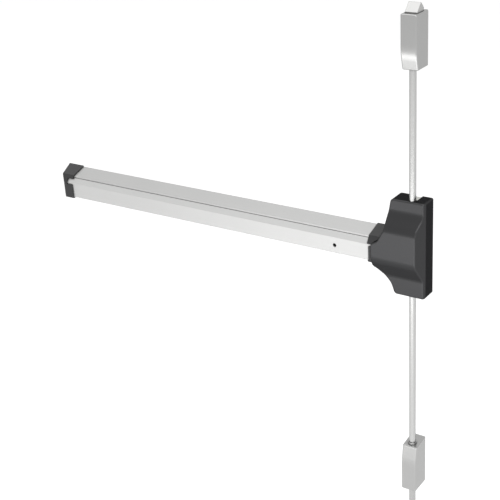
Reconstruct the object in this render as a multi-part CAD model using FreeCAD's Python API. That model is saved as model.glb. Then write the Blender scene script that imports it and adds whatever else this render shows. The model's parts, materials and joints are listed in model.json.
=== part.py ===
import FreeCAD, Part
import math
import os

# Vertical rod exit device. Millimetres, +Z up, +X along the bar towards the head.
# The door face is the plane y = 0 and the device stands in front of it, at y < 0.
# The rod axis stands at x = 0, and z = 0 is the height of the bar's drive line.

V = FreeCAD.Vector
X_AXIS = V(1, 0, 0)
Y_AXIS = V(0, 1, 0)
Z_AXIS = V(0, 0, 1)

# Clearances
fit_gap = 0.08
slot_slack = 0.15
slide_gap = 0.3
trim_gap = 0.3
cover_gap = 0.4
air_gap = 0.5

# Bar: the extruded rail, seen between the end cap and the collar
bar_visible = 697.0
collar_edge_x = -81.0
rail_end_gap = 1.0
rail_top_z = 23.5
rail_bottom_z = -28.0
rail_nose_y = -32.0
rail_nose_z = 13.2
rail_nose_radius = 0.9
rail_lip_drop = 3.2
rail_wall = 2.5
rail_skin = 2.0
rail_floor_depth = 24.0
rail_rib = 1.5
rail_rib_height = 3.6

# Push pad
pad_front_y = -40.0
pad_front_top_z = 0.0
pad_front_bottom_z = -31.0
pad_wall = 2.0
pad_top_gap = 0.6
pad_shoulder_y = -33.0
pad_top_reach = 10.0
pad_floor_reach = 22.0
pad_edge_radius = 1.2
pad_end_gap = 4.0
pad_hidden_right = 21.0
pad_travel = 12.0

# End cap and collar, moulded in black
trim_wall = 2.0
trim_edge_radius = 1.2
cap_length = 39.0
cap_wall = 2.5
cap_slant = 9.0
cap_corner_radius = 3.0
cap_slot_length = 14.0
cap_screw_y = -16.0
cap_screw_sink = 1.6
collar_length = 26.0
collar_slot_length = 9.0
band_setback = 2.7
band_top_z = -3.0
sight_slot_z = 1.8

# Drive line inside the bar
bar_strip_width = 18.0
bar_strip_thickness = 3.0
strip_tail = 68.0
drive_travel = 8.0
inner_crank_inset = 139.0
crank_pivot_y = -19.0
crank_z = -5.0
crank_thickness = 3.0
crank_strip_arm = 13.0
crank_boss_radius = 6.0
crank_eye_radius = 4.8
crank_tip_radius = 3.0
crank_pin_radius = 3.0
crank_head_rim = 1.0
crank_head_height = 1.5
pad_pin_radius = 3.0
base_sheet = 1.5
base_length = 36.0
base_ear_reach = 6.0
bracket_length = 16.0
bracket_sheet = 1.5
bracket_rim = 1.6
bracket_top_z = -1.5
rivet_head_radius = 2.2
rivet_head_height = 1.0
rivet_inset = 4.0

# Return spring on the drive line
spring_rod_radius = 2.5
spring_rod_length = 62.0
spring_coil_radius = 4.6
spring_wire_radius = 0.6
coil_sides = 8
spring_turns = 7
spring_room = 40.0
spring_strip_gap = 0.8
anchor_room = 11.5
anchor_thickness = 4.0
anchor_foot = 18.0
anchor_half_height = 6.5

# Dogging screw in the pad
dog_inset = 67.0
dog_z = -15.6
dog_hole_radius = 3.6
dog_head_radius = 5.0
dog_head_height = 4.0
dog_shank_radius = 2.4
dog_socket = 4.0
dog_bar_length = 13.0
dog_bar_width = 5.0
dog_bar_thickness = 2.0
dog_bar_rest_y = -22.0
holder_side = 6.0
keeper_sheet = 1.5
keeper_catch_gap = 0.4
keeper_half_length = 16.0
keeper_foot = 9.0
keeper_top_z = -4.0

# Head: cover, chassis and the two lift levers
head_top_z = 91.5
head_bottom_z = -89.0
head_left_x = -44.0
head_top_left_x = -38.0
head_waist_z = 58.0
head_waist_radius = 60.0
head_foot_left_x = -31.5
head_right_x = 26.5
head_nose_left_x = -70.5
head_depth_ends = 34.2
head_depth_middle = 50.5
head_wall = 2.0
head_fillet = 2.5
head_facet_back_y = -29.0
head_facet_front_x = 16.0
head_edge_radius = 3.0
head_corner_radius = 7.0
head_swell_radius = 30.0
head_crease_radius = 12.0
upper_bend_z = 64.0
bulge_top_z = 41.0
bulge_bottom_z = -24.0
lower_bend_z = -55.0
nose_root_top_z = 38.0
nose_shoulder_x = -57.0
nose_shoulder_z = 14.0
nose_top_z = 6.0
nose_bottom_z = -38.0
nose_heel_x = -62.0
nose_heel_z = -44.0
nose_foot_x = -38.5
nose_foot_z = -69.0
nose_root_radius = 25.0
nose_shoulder_radius = 14.0
nose_top_radius = 8.0
nose_bottom_radius = 8.0
nose_heel_radius = 12.0
nose_foot_radius = 30.0
cover_screw_left_x = -16.0
cover_screw_right_x = 14.0
cover_screw_y = -12.0
chassis_sheet = 2.5
chassis_flange_z = 49.0
chassis_flange_sheet = 3.0
flange_half_width = 13.0
flange_rim = 1.4
tab_reach = 7.0
chassis_knee_z = -60.0
slant_share = 1.3
opening_reach = 5.0
lug_height = 7.0
lug_length = 30.0
lug_screw_share = 0.6
lug_screw_radius = 2.6
lug_screw_height = 1.2
lever_pivot_x = -24.0
lever_input_arm = 12.0
lever_output_arm = 24.0
lever_input_z = 6.0
lever_thickness = 3.0
lever_arm_half = 4.0
lever_pin_radius = 2.5
lift_pin_radius = 3.0
pin_rim = 2.5
pivot_pin_radius = 3.5
pivot_eye = 3.0
pivot_shoulder = 1.5
slide_plate = 3.0
slide_left_x = -50.0
slide_step_x = -33.0
slide_right_x = -13.0
slide_half_height = 12.5
slide_rivet_spacing = 9.0
strip_right_x = -30.0

# Rods and their connectors
rod_y = -25.2
rod_radius = 6.0
rod_grip = 12.0
connector_half_width = 9.0
connector_back_y = -13.5
connector_front_y = -33.4
connector_pocket = 5.2
connector_heel = 4.5
connector_body = 10.0
nut_height = 8.0
nut_flats = 17.0
bushing_wall = 1.6
bushing_collar = 0.8
bushing_lip = 1.5
rod_notch_slack = 0.9

# Top latch
latch_half_width = 14.6
latch_front_room = 16.9
latch_wall = 2.0
latch_edge_radius = 2.5
latch_bend_radius = 110.0
latch_notch_slack = 0.8
top_latch_bottom_z = 321.0
top_latch_height = 92.2
top_latch_bend_height = 29.0
top_latch_toe_room = 10.3
top_fixing_height = 24.0
bolt_width = 22.0
bolt_back_room = 16.7
bolt_front_room = 7.4
bolt_apex_room = 6.2
bolt_nose_radius = 1.5
bolt_heel_radius = 1.0
bolt_throw = 16.0
bolt_length = 44.0
bolt_back_drop = 11.0
bolt_front_rise = 1.5
bolt_pin_radius = 2.0
bolt_spring_wire = 0.8
bolt_spring_room = 0.8
bolt_spring_turns = 7
base_edge_gap = 0.3
base_plate = 2.5
guide_rim = 1.0
ear_depth = 14.0
ear_sheet = 2.0
ear_height = 14.0
case_screw_y = -9.0

# Bottom latch
bottom_latch_bottom_z = -496.5
bottom_latch_height = 101.0
bottom_latch_brow_room = 11.8
bottom_latch_brow_drop = 5.0
bottom_latch_brow_run = 33.5
bottom_base_drop = 4.0
bottom_bolt_radius = 6.35
bottom_bolt_tip_z = -536.0
bottom_tip_radius = 3.0
bottom_screw_height = 20.5
coupling_radius = 9.0
coupling_height = 30.0
coupling_room = 10.0
ring_sink = 10.5
ring_height = 10.5

# Fixing holes and screws
mount_hole_radius = 2.75
head_mount_x = -8.3
head_mount_spacing_x = 44.0
head_mount_spacing_z = 140.0
top_mount_spacing = 30.0
bottom_mount_height = 36.5
bottom_mount_spacing = 56.0
end_mount_inset = 15.0
end_mount_spacing = 14.0
end_bracket_length = 26.0
end_ear_front_y = -22.0
screw_radius = 2.0
screw_head_radius = 3.6
screw_head_height = 2.0
screw_end = 2.0

# Values that follow from the sizes above
cover_screw_x = (cover_screw_left_x, cover_screw_right_x)
cap_edge_x = collar_edge_x - bar_visible
cap_end_x = cap_edge_x - cap_length
rail_floor_z = rail_bottom_z + rail_skin
bracket_bottom_z = rail_floor_z + air_gap
rail_left_x = cap_end_x + cap_wall + cap_slant + rail_end_gap
rail_right_x = head_left_x - rail_end_gap
pad_left_x = cap_end_x + cap_wall + 2 * cap_slant + pad_end_gap
pad_right_x = collar_edge_x + pad_hidden_right
pad_top_z = rail_nose_z - rail_lip_drop - pad_top_gap
pad_inner_edge_z = pad_front_top_z - pad_wall * 0.4
strip_back_y = -(rail_wall + slide_gap)
strip_front_y = strip_back_y - bar_strip_thickness
crank_swing = math.asin(drive_travel / 2.0 / crank_strip_arm)
crank_pad_arm = pad_travel / 2.0 / math.sin(crank_swing)
bracket_slot_reach = crank_thickness / 2.0 + slide_gap + bracket_sheet + 1.0
spring_y = strip_back_y - spring_coil_radius - spring_wire_radius - spring_strip_gap
keeper_y = dog_bar_rest_y + pad_travel - keeper_catch_gap - keeper_sheet
lever_swing = math.asin(drive_travel / 2.0 / lever_input_arm)
rod_travel = 2.0 * lever_output_arm * math.sin(lever_swing)
lever_pivot_z = lever_input_z + lever_input_arm
lever_back_y = strip_front_y - slide_plate - slide_gap
lever_front_y = lever_back_y - lever_thickness
connector_rest_z = lever_pivot_z + rod_travel / 2.0
lug_z = bar_strip_width / 2.0 + rail_rib + 3 * slide_gap
latch_depth = latch_front_room - rod_y
top_latch_toe_depth = top_latch_toe_room - rod_y
top_latch_top_z = top_latch_bottom_z + top_latch_height
top_latch_bend_z = top_latch_bottom_z + top_latch_bend_height
top_case_screw_z = top_latch_bottom_z + top_fixing_height
top_mount_z = top_latch_bottom_z + top_fixing_height
bolt_back_y = rod_y + bolt_back_room
bolt_front_y = rod_y - bolt_front_room
bolt_apex_y = rod_y + bolt_apex_room
bolt_spring_radius = rod_radius + bolt_spring_wire + bolt_spring_room
bolt_tip_z = top_latch_top_z + bolt_throw
bolt_bottom_z = bolt_tip_z - bolt_length
bottom_latch_brow_depth = bottom_latch_brow_room - rod_y
bottom_latch_top_z = bottom_latch_bottom_z + bottom_latch_height
bottom_latch_bend_z = bottom_latch_top_z - bottom_latch_brow_drop - bottom_latch_brow_run
bottom_case_screw_z = bottom_latch_bottom_z + bottom_screw_height
bottom_mount_z = bottom_latch_bottom_z + bottom_mount_height
ring_bottom_z = bottom_latch_top_z - ring_sink
coupling_top_z = ring_bottom_z - rod_travel - coupling_room
end_mount_x = rail_left_x + end_mount_inset
end_ear_x = rail_left_x + rail_end_gap
anchor_x = end_ear_x + end_bracket_length + anchor_room + anchor_foot
bar_strip_left = anchor_x + spring_room
crank_pivot_x = (bar_strip_left + strip_tail, collar_edge_x - inner_crank_inset)
dog_x = collar_edge_x - dog_inset
cap_screw_seat_x = cap_end_x + cap_slant * cap_screw_y / rail_nose_y + cap_screw_sink


def box(x0, x1, y0, y1, z0, z1):
    """Box between two corners."""
    corner = V(min(x0, x1), min(y0, y1), min(z0, z1))
    return Part.makeBox(abs(x1 - x0), abs(y1 - y0), abs(z1 - z0), corner)


def rod(x, y, z, radius, length, axis=Z_AXIS):
    """Round bar from a point along an axis."""
    return Part.makeCylinder(radius, length, V(x, y, z), axis)


def prism_x(outline, x0, x1):
    """Solid with a (y, z) outline, from x0 to x1."""
    points = [V(x0, y, z) for y, z in outline]
    face = Part.Face(Part.makePolygon(points + points[:1]))
    return face.extrude(V(x1 - x0, 0, 0))


def prism_y(outline, y0, y1):
    """Solid with an (x, z) outline, from y0 to y1."""
    points = [V(x, y0, z) for x, z in outline]
    face = Part.Face(Part.makePolygon(points + points[:1]))
    return face.extrude(V(0, y1 - y0, 0))


def prism_z(outline, z0, z1):
    """Solid with an (x, y) outline, from z0 to z1."""
    points = [V(x, y, z0) for x, y in outline]
    face = Part.Face(Part.makePolygon(points + points[:1]))
    return face.extrude(V(0, 0, z1 - z0))


def fuse(pieces):
    """One solid from pieces that touch or overlap."""
    first = pieces[0]
    return first.multiFuse(pieces[1:]).removeSplitter()


def round_edges(shape, radius, chosen):
    """Fillet the edges that the test picks."""
    edges = [edge for edge in shape.Edges if chosen(edge)]
    return shape.makeFillet(radius, edges)


def is_line_at(edge, direction, **place):
    """True for a straight edge along a direction whose middle has the given coordinates."""
    if edge.Curve.TypeId != "Part::GeomLine":
        return False
    run = edge.Vertexes[-1].Point.sub(edge.Vertexes[0].Point)
    if run.Length < 1e-6 or abs(abs(run.normalize().dot(direction)) - 1.0) > 1e-6:
        return False
    middle = edge.CenterOfMass
    return all(abs(getattr(middle, name) - value) < 0.02 for name, value in place.items())


def turn(shape, degrees, centre, axis):
    """Copy of a shape turned about an axis."""
    copy = shape.copy()
    copy.rotate(centre, axis, degrees)
    return copy


def hexagon(x, y, z, flats, height, axis=Z_AXIS):
    """Hexagonal prism, given across its flats."""
    reach = flats / math.sqrt(3.0)
    corners = []
    for step in range(7):
        angle = math.radians(60.0 * step)
        corners.append(V(reach * math.cos(angle), reach * math.sin(angle), 0))
    shape = Part.Face(Part.makePolygon(corners)).extrude(V(0, 0, height))
    shape.Placement = FreeCAD.Placement(V(x, y, z), FreeCAD.Rotation(Z_AXIS, axis))
    return shape


def pan_screw(head_point, axis, length):
    """Pan head screw: head_point is the seat, axis points from the head into the work."""
    head = Part.makeCylinder(screw_head_radius, screw_head_height, head_point, axis * -1)
    shank = Part.makeCylinder(screw_radius, length, head_point, axis)
    return fuse([head, shank])


def rounded_face(corners, place):
    """Flat face from (a, b, radius) corners; place maps a plane point into space."""
    cuts = []
    for index, (a, b, radius) in enumerate(corners):
        corner = V(a, b, 0)
        before = V(corners[index - 1][0], corners[index - 1][1], 0)
        after = V(corners[(index + 1) % len(corners)][0], corners[(index + 1) % len(corners)][1], 0)
        if radius <= 0:
            cuts.append((corner, None, corner))
            continue
        to_before = (before - corner).normalize()
        to_after = (after - corner).normalize()
        half = math.acos(to_before.dot(to_after)) / 2.0
        inward = (to_before + to_after).normalize()
        middle = corner + inward * (radius / math.sin(half) - radius)
        reach = radius / math.tan(half)
        cuts.append((corner + to_before * reach, middle, corner + to_after * reach))
    edges = []
    for index, (start, middle, end) in enumerate(cuts):
        if middle is not None:
            edges.append(Part.Arc(place(start), place(middle), place(end)).toShape())
        following = cuts[(index + 1) % len(cuts)][0]
        if (following - end).Length > 1e-6:
            edges.append(Part.makeLine(place(end), place(following)))
    return Part.Face(Part.Wire(edges))


# Rail: one extrusion, open to the front, with two ribs that guide the drive strip
def rail_slope(y):
    """Height of the rail's top face at a depth."""
    return rail_top_z + (rail_nose_z - rail_top_z) * y / rail_nose_y


def make_rail():
    lip_z = rail_nose_z - rail_lip_drop
    lip_back_y = rail_nose_y + rail_skin
    outline = [
        (0, rail_top_z),
        (rail_nose_y, rail_nose_z),
        (rail_nose_y, lip_z),
        (lip_back_y, lip_z),
        (lip_back_y, rail_slope(lip_back_y) - rail_skin),
        (-rail_wall, rail_slope(-rail_wall) - rail_skin),
        (-rail_wall, rail_floor_z),
        (-rail_floor_depth, rail_floor_z),
        (-rail_floor_depth, rail_bottom_z),
        (0, rail_bottom_z),
    ]
    body = prism_x(outline, rail_left_x, rail_right_x)
    rib_z = bar_strip_width / 2.0 + slide_gap
    rib_y = -(rail_wall + rail_rib_height)
    for side in (1, -1):
        rib = box(rail_left_x, rail_right_x, -rail_wall, rib_y, side * rib_z, side * (rib_z + rail_rib))
        body = body.fuse(rib)
    body = body.removeSplitter()
    nose = {"y": rail_nose_y, "z": rail_nose_z}
    body = round_edges(body, rail_nose_radius, lambda edge: is_line_at(edge, X_AXIS, **nose))
    for side in (1, -1):
        x = end_mount_x + side * end_mount_spacing / 2.0
        body = body.cut(rod(x, 1, 0, mount_hole_radius, rail_wall + 2, -Y_AXIS))
    return body


# Push pad: a bent channel whose shoulder runs under the rail's lip
def make_push_pad():
    shoulder_z = pad_top_z
    outline = [
        (pad_shoulder_y + pad_top_reach, shoulder_z, 0),
        (pad_shoulder_y, shoulder_z, pad_edge_radius),
        (pad_front_y, pad_front_top_z, pad_edge_radius),
        (pad_front_y, pad_front_bottom_z, pad_edge_radius),
        (pad_front_y + pad_floor_reach, pad_front_bottom_z, 0),
        (pad_front_y + pad_floor_reach, pad_front_bottom_z + pad_wall, 0),
        (pad_front_y + pad_wall, pad_front_bottom_z + pad_wall, 0),
        (pad_front_y + pad_wall, pad_inner_edge_z, 0),
        (pad_shoulder_y + pad_wall * 0.5, shoulder_z - pad_wall, 0),
        (pad_shoulder_y + pad_top_reach, shoulder_z - pad_wall, 0),
    ]
    face = rounded_face(outline, lambda point: V(pad_left_x, point.x, point.y))
    body = face.extrude(V(pad_right_x - pad_left_x, 0, 0))
    return body.cut(rod(dog_x, pad_front_y - 1, dog_z, dog_hole_radius, pad_wall + 2, Y_AXIS))


# Bell cranks: each turns the pad's push into a pull on the drive strip
def make_crank(pivot_x):
    z0 = crank_z - crank_thickness / 2.0
    boss = rod(pivot_x, crank_pivot_y, z0, crank_boss_radius, crank_thickness)
    pad_eye = rod(pivot_x + crank_pad_arm, crank_pivot_y, z0, crank_eye_radius, crank_thickness)
    strip_tip = rod(pivot_x, crank_pivot_y + crank_strip_arm, z0, crank_tip_radius, crank_thickness)
    pad_arm = box(pivot_x, pivot_x + crank_pad_arm, crank_pivot_y - crank_eye_radius,
                  crank_pivot_y + crank_eye_radius, z0, z0 + crank_thickness)
    strip_arm = box(pivot_x - crank_tip_radius, pivot_x + crank_tip_radius, crank_pivot_y,
                    crank_pivot_y + crank_strip_arm, z0, z0 + crank_thickness)
    body = fuse([boss, pad_eye, strip_tip, pad_arm, strip_arm])
    body = body.cut(rod(pivot_x, crank_pivot_y, z0 - 1, crank_pin_radius + fit_gap, crank_thickness + 2))
    body = body.cut(rod(pivot_x + crank_pad_arm, crank_pivot_y, z0 - 1, pad_pin_radius, crank_thickness + 2))
    return turn(body, -math.degrees(crank_swing), V(pivot_x, crank_pivot_y, 0), Z_AXIS)


def make_pad_pin(pivot_x):
    """Pin at the end of a crank's long arm, in the slots of the pad bracket."""
    x = pivot_x + crank_pad_arm * math.cos(crank_swing)
    y = crank_pivot_y - crank_pad_arm * math.sin(crank_swing)
    half = crank_thickness / 2.0 + slide_gap + bracket_sheet + crank_head_height
    return rod(x, y, crank_z - half, pad_pin_radius, 2 * half)


def ear_planes(sheet):
    """Bottom and top z ranges of the two ears beside a crank."""
    near = crank_thickness / 2.0 + slide_gap
    return [(crank_z - near - sheet, crank_z - near), (crank_z + near, crank_z + near + sheet)]


def make_pad_bracket(pivot_x):
    """Channel inside the pad, with two slotted ears for the crank's pin."""
    centre = pivot_x + crank_pad_arm * (1 + math.cos(crank_swing)) / 2.0
    x0 = centre - bracket_length / 2.0
    x1 = centre + bracket_length / 2.0
    back_y = pad_front_y + pad_wall
    pin_y = crank_pivot_y - crank_pad_arm * math.sin(crank_swing)
    pieces = [box(x0, x1, back_y, back_y + bracket_sheet, bracket_bottom_z, bracket_top_z)]
    for z0, z1 in ear_planes(bracket_sheet):
        pieces.append(box(x0, x1, back_y, pin_y + pad_pin_radius + bracket_rim, z0, z1))
    body = fuse(pieces)
    half_run = crank_pad_arm * (1 - math.cos(crank_swing)) / 2.0 + slide_gap
    z0 = crank_z - bracket_slot_reach
    for side in (1, -1):
        hole = rod(centre + side * half_run, pin_y, z0, pad_pin_radius + fit_gap, 2 * bracket_slot_reach)
        body = body.cut(hole)
    slot = box(centre - half_run, centre + half_run, pin_y - pad_pin_radius - fit_gap,
               pin_y + pad_pin_radius + fit_gap, z0, z0 + 2 * bracket_slot_reach)
    return body.cut(slot)


def make_crank_base(pivot_x):
    """Folded base on the rail's floor: a foot, a wall with a window, and two ears."""
    x0 = pivot_x - base_length / 2.0
    x1 = pivot_x + base_length / 2.0
    wall_y = strip_front_y - air_gap
    ear_y = crank_pivot_y - crank_boss_radius
    foot_y = -rail_floor_depth + air_gap
    pieces = [
        box(x0, x1, wall_y - base_sheet, wall_y, rail_floor_z, ear_planes(base_sheet)[1][1]),
        box(x0, x1, foot_y, wall_y, rail_floor_z, rail_floor_z + base_sheet),
    ]
    for z0, z1 in ear_planes(base_sheet):
        pieces.append(box(x0, pivot_x + base_ear_reach, ear_y, wall_y, z0, z1))
    body = fuse(pieces)
    window = crank_tip_radius + drive_travel / 2.0 + slide_gap
    inner = ear_planes(base_sheet)
    body = body.cut(box(pivot_x - window, pivot_x + window, wall_y - 2 * base_sheet, wall_y + 1,
                        inner[0][1], inner[1][0]))
    span = inner[1][1] - inner[0][0]
    return body.cut(rod(pivot_x, crank_pivot_y, inner[0][0] - 1, crank_pin_radius, span + 2))


def make_crank_pins():
    """One headed pivot pin for each crank."""
    inner = ear_planes(base_sheet)
    pins = []
    for pivot_x in crank_pivot_x:
        shank = rod(pivot_x, crank_pivot_y, inner[0][0], crank_pin_radius, inner[1][1] - inner[0][0])
        head = rod(pivot_x, crank_pivot_y, inner[1][1], crank_pin_radius + crank_head_rim, crank_head_height)
        pins.append(fuse([shank, head]))
    return Part.makeCompound(pins)


def rivet_head(x, y, z, axis):
    """Head of a rivet, standing on the plate that it holds."""
    return rod(x, y, z, rivet_head_radius, rivet_head_height, axis)


def make_rail_rivets():
    """Rivet heads on the feet of the crank bases, the dogging keeper and the spring anchor."""
    shapes = []
    base_y = (strip_front_y + crank_pivot_y - crank_boss_radius) / 2.0
    for side in (1, -1):
        for pivot_x in crank_pivot_x:
            x = pivot_x + side * (base_length / 2.0 - rivet_inset)
            shapes.append(rivet_head(x, base_y, rail_floor_z + base_sheet, Z_AXIS))
        x = dog_x + side * (keeper_half_length - rivet_inset)
        shapes.append(rivet_head(x, keeper_y + keeper_foot / 2.0, rail_floor_z + keeper_sheet, Z_AXIS))
    for step in (1, 2):
        x = anchor_x - anchor_thickness - step * (anchor_foot - anchor_thickness) / 3.0
        shapes.append(rivet_head(x, -rail_wall - base_sheet, 0, -Y_AXIS))
    return Part.makeCompound(shapes)


# Drive strip: slides along the rail and carries the spring rod and the slide plate
def make_drive_strip():
    half = bar_strip_width / 2.0
    strip = box(bar_strip_left, strip_right_x, strip_back_y, strip_front_y, -half, half)
    tab = box(bar_strip_left, bar_strip_left + bar_strip_thickness, strip_back_y,
              spring_y - spring_coil_radius, -anchor_half_height, anchor_half_height)
    spring_rod = rod(bar_strip_left, spring_y, 0, spring_rod_radius, spring_rod_length, -X_AXIS)
    body = fuse([strip, tab, spring_rod])
    slot_half = crank_thickness / 2.0 + slide_gap
    for pivot_x in crank_pivot_x:
        x = pivot_x + crank_strip_arm * math.sin(crank_swing)
        reach = crank_tip_radius + slot_slack
        body = body.cut(box(x - reach, x + reach, strip_back_y + 1, strip_front_y - 1,
                            crank_z - slot_half, crank_z + slot_half))
    return body


def make_slide_rivets():
    """Heads of the two rivets that join the slide plate to the drive strip."""
    shapes = []
    for side in (1, -1):
        x = (slide_left_x + strip_right_x) / 2.0 + side * slide_rivet_spacing / 2.0
        shapes.append(rivet_head(x, strip_front_y - slide_plate, 0, -Y_AXIS))
    return Part.makeCompound(shapes)


def make_drive_slide():
    """Plate at the head end of the drive strip, with a slot for each lever's pin."""
    half = bar_strip_width / 2.0
    outline = [
        (slide_left_x, -half),
        (slide_step_x, -half),
        (slide_step_x, -slide_half_height),
        (slide_right_x, -slide_half_height),
        (slide_right_x, slide_half_height),
        (slide_step_x, slide_half_height),
        (slide_step_x, half),
        (slide_left_x, half),
    ]
    body = prism_y(outline, strip_front_y, strip_front_y - slide_plate)
    x = lever_pivot_x + lever_input_arm * math.sin(lever_swing)
    low = lever_input_z - lever_pin_radius - slide_gap
    high = lever_pivot_z - lever_input_arm * math.cos(lever_swing) + lever_pin_radius + slide_gap
    width = lever_pin_radius + slot_slack
    for side in (1, -1):
        body = body.cut(box(x - width, x + width, strip_front_y + 1, strip_front_y - slide_plate - 1,
                            side * low, side * high))
    return body


def flat_face(corners):
    """Flat face between corners."""
    return Part.Face(Part.makePolygon(corners + corners[:1]))


def make_spring(start, axis, length, coil_radius, wire_radius, turns):
    """Compression spring along an axis: square wire, coiled in straight steps with flat faces."""
    steps = turns * coil_sides
    rise = (length - 2 * wire_radius) / steps
    sections = []
    for step in range(steps + 1):
        angle = 2.0 * math.pi * step / coil_sides
        out = V(math.cos(angle), math.sin(angle), 0)
        middle = out * coil_radius + V(0, 0, wire_radius + rise * step)
        corners = []
        for across, up in ((1, -1), (1, 1), (-1, 1), (-1, -1)):
            corners.append(middle + out * (across * wire_radius) + V(0, 0, up * wire_radius))
        sections.append(corners)
    faces = [flat_face(sections[0]), flat_face(sections[-1])]
    for near, far in zip(sections, sections[1:]):
        faces.append(flat_face([near[0], near[1], far[1], far[0]]))
        faces.append(flat_face([near[2], near[3], far[3], far[2]]))
        for left, right in ((1, 2), (3, 0)):
            faces.append(flat_face([near[left], near[right], far[right]]))
            faces.append(flat_face([near[left], far[right], far[left]]))
    coil = Part.Solid(Part.Shell(faces))
    coil.Placement = FreeCAD.Placement(start, FreeCAD.Rotation(Z_AXIS, axis))
    return coil


def make_spring_anchor():
    """Angle bracket on the rail's web that the return spring pushes against."""
    half = anchor_half_height
    foot = box(anchor_x - anchor_foot, anchor_x, -rail_wall, -rail_wall - base_sheet, -half, half)
    face = box(anchor_x - anchor_thickness, anchor_x, -rail_wall, spring_y - spring_coil_radius, -half, half)
    body = fuse([foot, face])
    return body.cut(rod(anchor_x + 1, spring_y, 0, spring_rod_radius + slide_gap, anchor_foot + 2, -X_AXIS))


# Dogging: a hex screw in the pad whose cross bar passes a slotted keeper and turns behind it
def make_dogging_screw():
    head_y = pad_front_y + pad_wall + fit_gap
    bar_back_y = dog_bar_rest_y + dog_bar_thickness
    head = rod(dog_x, head_y, dog_z, dog_head_radius, dog_head_height, Y_AXIS)
    shank = rod(dog_x, head_y, dog_z, dog_shank_radius, bar_back_y - head_y, Y_AXIS)
    cross = box(dog_x - dog_bar_length / 2.0, dog_x + dog_bar_length / 2.0, dog_bar_rest_y, bar_back_y,
                dog_z - dog_bar_width / 2.0, dog_z + dog_bar_width / 2.0)
    socket = hexagon(dog_x, head_y, dog_z, dog_socket, dog_head_height, Y_AXIS)
    return fuse([head, shank, cross]).cut(socket)


def make_dogging_holder():
    """Bridge inside the pad that keeps the dogging screw against the pad."""
    back_y = pad_front_y + pad_wall
    plate_y = back_y + fit_gap + dog_head_height + fit_gap
    z0 = bracket_bottom_z
    half = dog_head_radius + holder_side
    pieces = [
        box(dog_x - half, dog_x + half, plate_y, plate_y + bracket_sheet, z0, bracket_top_z),
        box(dog_x - half, dog_x + half, back_y, plate_y, z0, z0 + bracket_sheet),
        box(dog_x - half, dog_x + half, back_y, plate_y, bracket_top_z - bracket_sheet, bracket_top_z),
    ]
    return fuse(pieces).cut(rod(dog_x, back_y, dog_z, dog_shank_radius + fit_gap, -back_y, Y_AXIS))


def make_dogging_keeper():
    """Angle on the rail's floor with a slot for the dogging screw's cross bar."""
    x0 = dog_x - keeper_half_length
    x1 = dog_x + keeper_half_length
    face = box(x0, x1, keeper_y, keeper_y + keeper_sheet, rail_floor_z, keeper_top_z)
    foot = box(x0, x1, keeper_y, keeper_y + keeper_foot, rail_floor_z, rail_floor_z + keeper_sheet)
    body = fuse([face, foot])
    slot_x = dog_bar_length / 2.0 + air_gap
    slot_z = dog_bar_width / 2.0 + air_gap
    slot = box(dog_x - slot_x, dog_x + slot_x, keeper_y - 1, keeper_y + keeper_sheet + 1,
               dog_z - slot_z, dog_z + slot_z)
    return body.cut(slot)


# End cap and collar: black mouldings that sleeve the rail and the ends of the pad
def trim_outline(offset):
    """Corners of the sleeve around rail and pad, at a distance from them."""
    return [
        (0, rail_top_z + offset),
        (rail_nose_y - offset * 0.5, rail_nose_z + offset),
        (pad_shoulder_y - offset, pad_top_z + offset),
        (pad_front_y - offset, pad_front_top_z + offset * 0.5),
        (pad_front_y - offset, pad_front_bottom_z - offset),
        (0, pad_front_bottom_z - offset),
    ]


def sleeve_solid(x0, x1):
    """Outer form of a sleeve, its edges rounded away from the door."""
    body = prism_x(trim_outline(trim_gap + trim_wall), x0, x1)
    return round_edges(body, trim_edge_radius, on_sleeve_front)


def on_sleeve_front(edge):
    """True for a sleeve's long edges, away from the door."""
    return is_line_at(edge, X_AXIS) and edge.CenterOfMass.y < -1


def sleeve_hollow(x0, x1):
    """Space inside a sleeve, open to the door."""
    outline = trim_outline(trim_gap)
    return prism_x([(1, outline[0][1])] + outline + [(1, outline[-1][1])], x0, x1)


def make_collar():
    x1 = collar_edge_x + collar_length
    body = sleeve_solid(collar_edge_x, x1).cut(sleeve_hollow(collar_edge_x - 1, x1 + 1))
    slot = box(collar_edge_x - 1, collar_edge_x + collar_slot_length, pad_shoulder_y - 1, pad_front_y - 10,
               band_top_z, pad_front_top_z + sight_slot_z)
    band = box(collar_edge_x - 1, collar_edge_x + band_setback, pad_front_y, pad_front_y - 10,
               pad_front_bottom_z - 10, band_top_z)
    return body.cut(slot).cut(band)


def cap_plan(inset, over):
    """Plan outline of the end cap, or of its hollow when inset, slanted towards its front."""
    front_y = pad_front_y - trim_gap - trim_wall
    knee_y = rail_nose_y - trim_gap - trim_wall
    return [
        (cap_edge_x + over, over, 0),
        (cap_edge_x + over, front_y - over, 0),
        (cap_end_x + inset + 2 * cap_slant, front_y - over, cap_corner_radius),
        (cap_end_x + inset + cap_slant, knee_y, cap_corner_radius),
        (cap_end_x + inset, over, 0),
    ]


def cap_block(inset, over):
    """Upright block with the end cap's plan outline."""
    low = pad_front_bottom_z - 10
    high = rail_top_z + 10
    face = rounded_face(cap_plan(inset, over), lambda point: V(point.x, point.y, low))
    return face.extrude(V(0, 0, high - low))


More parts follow.
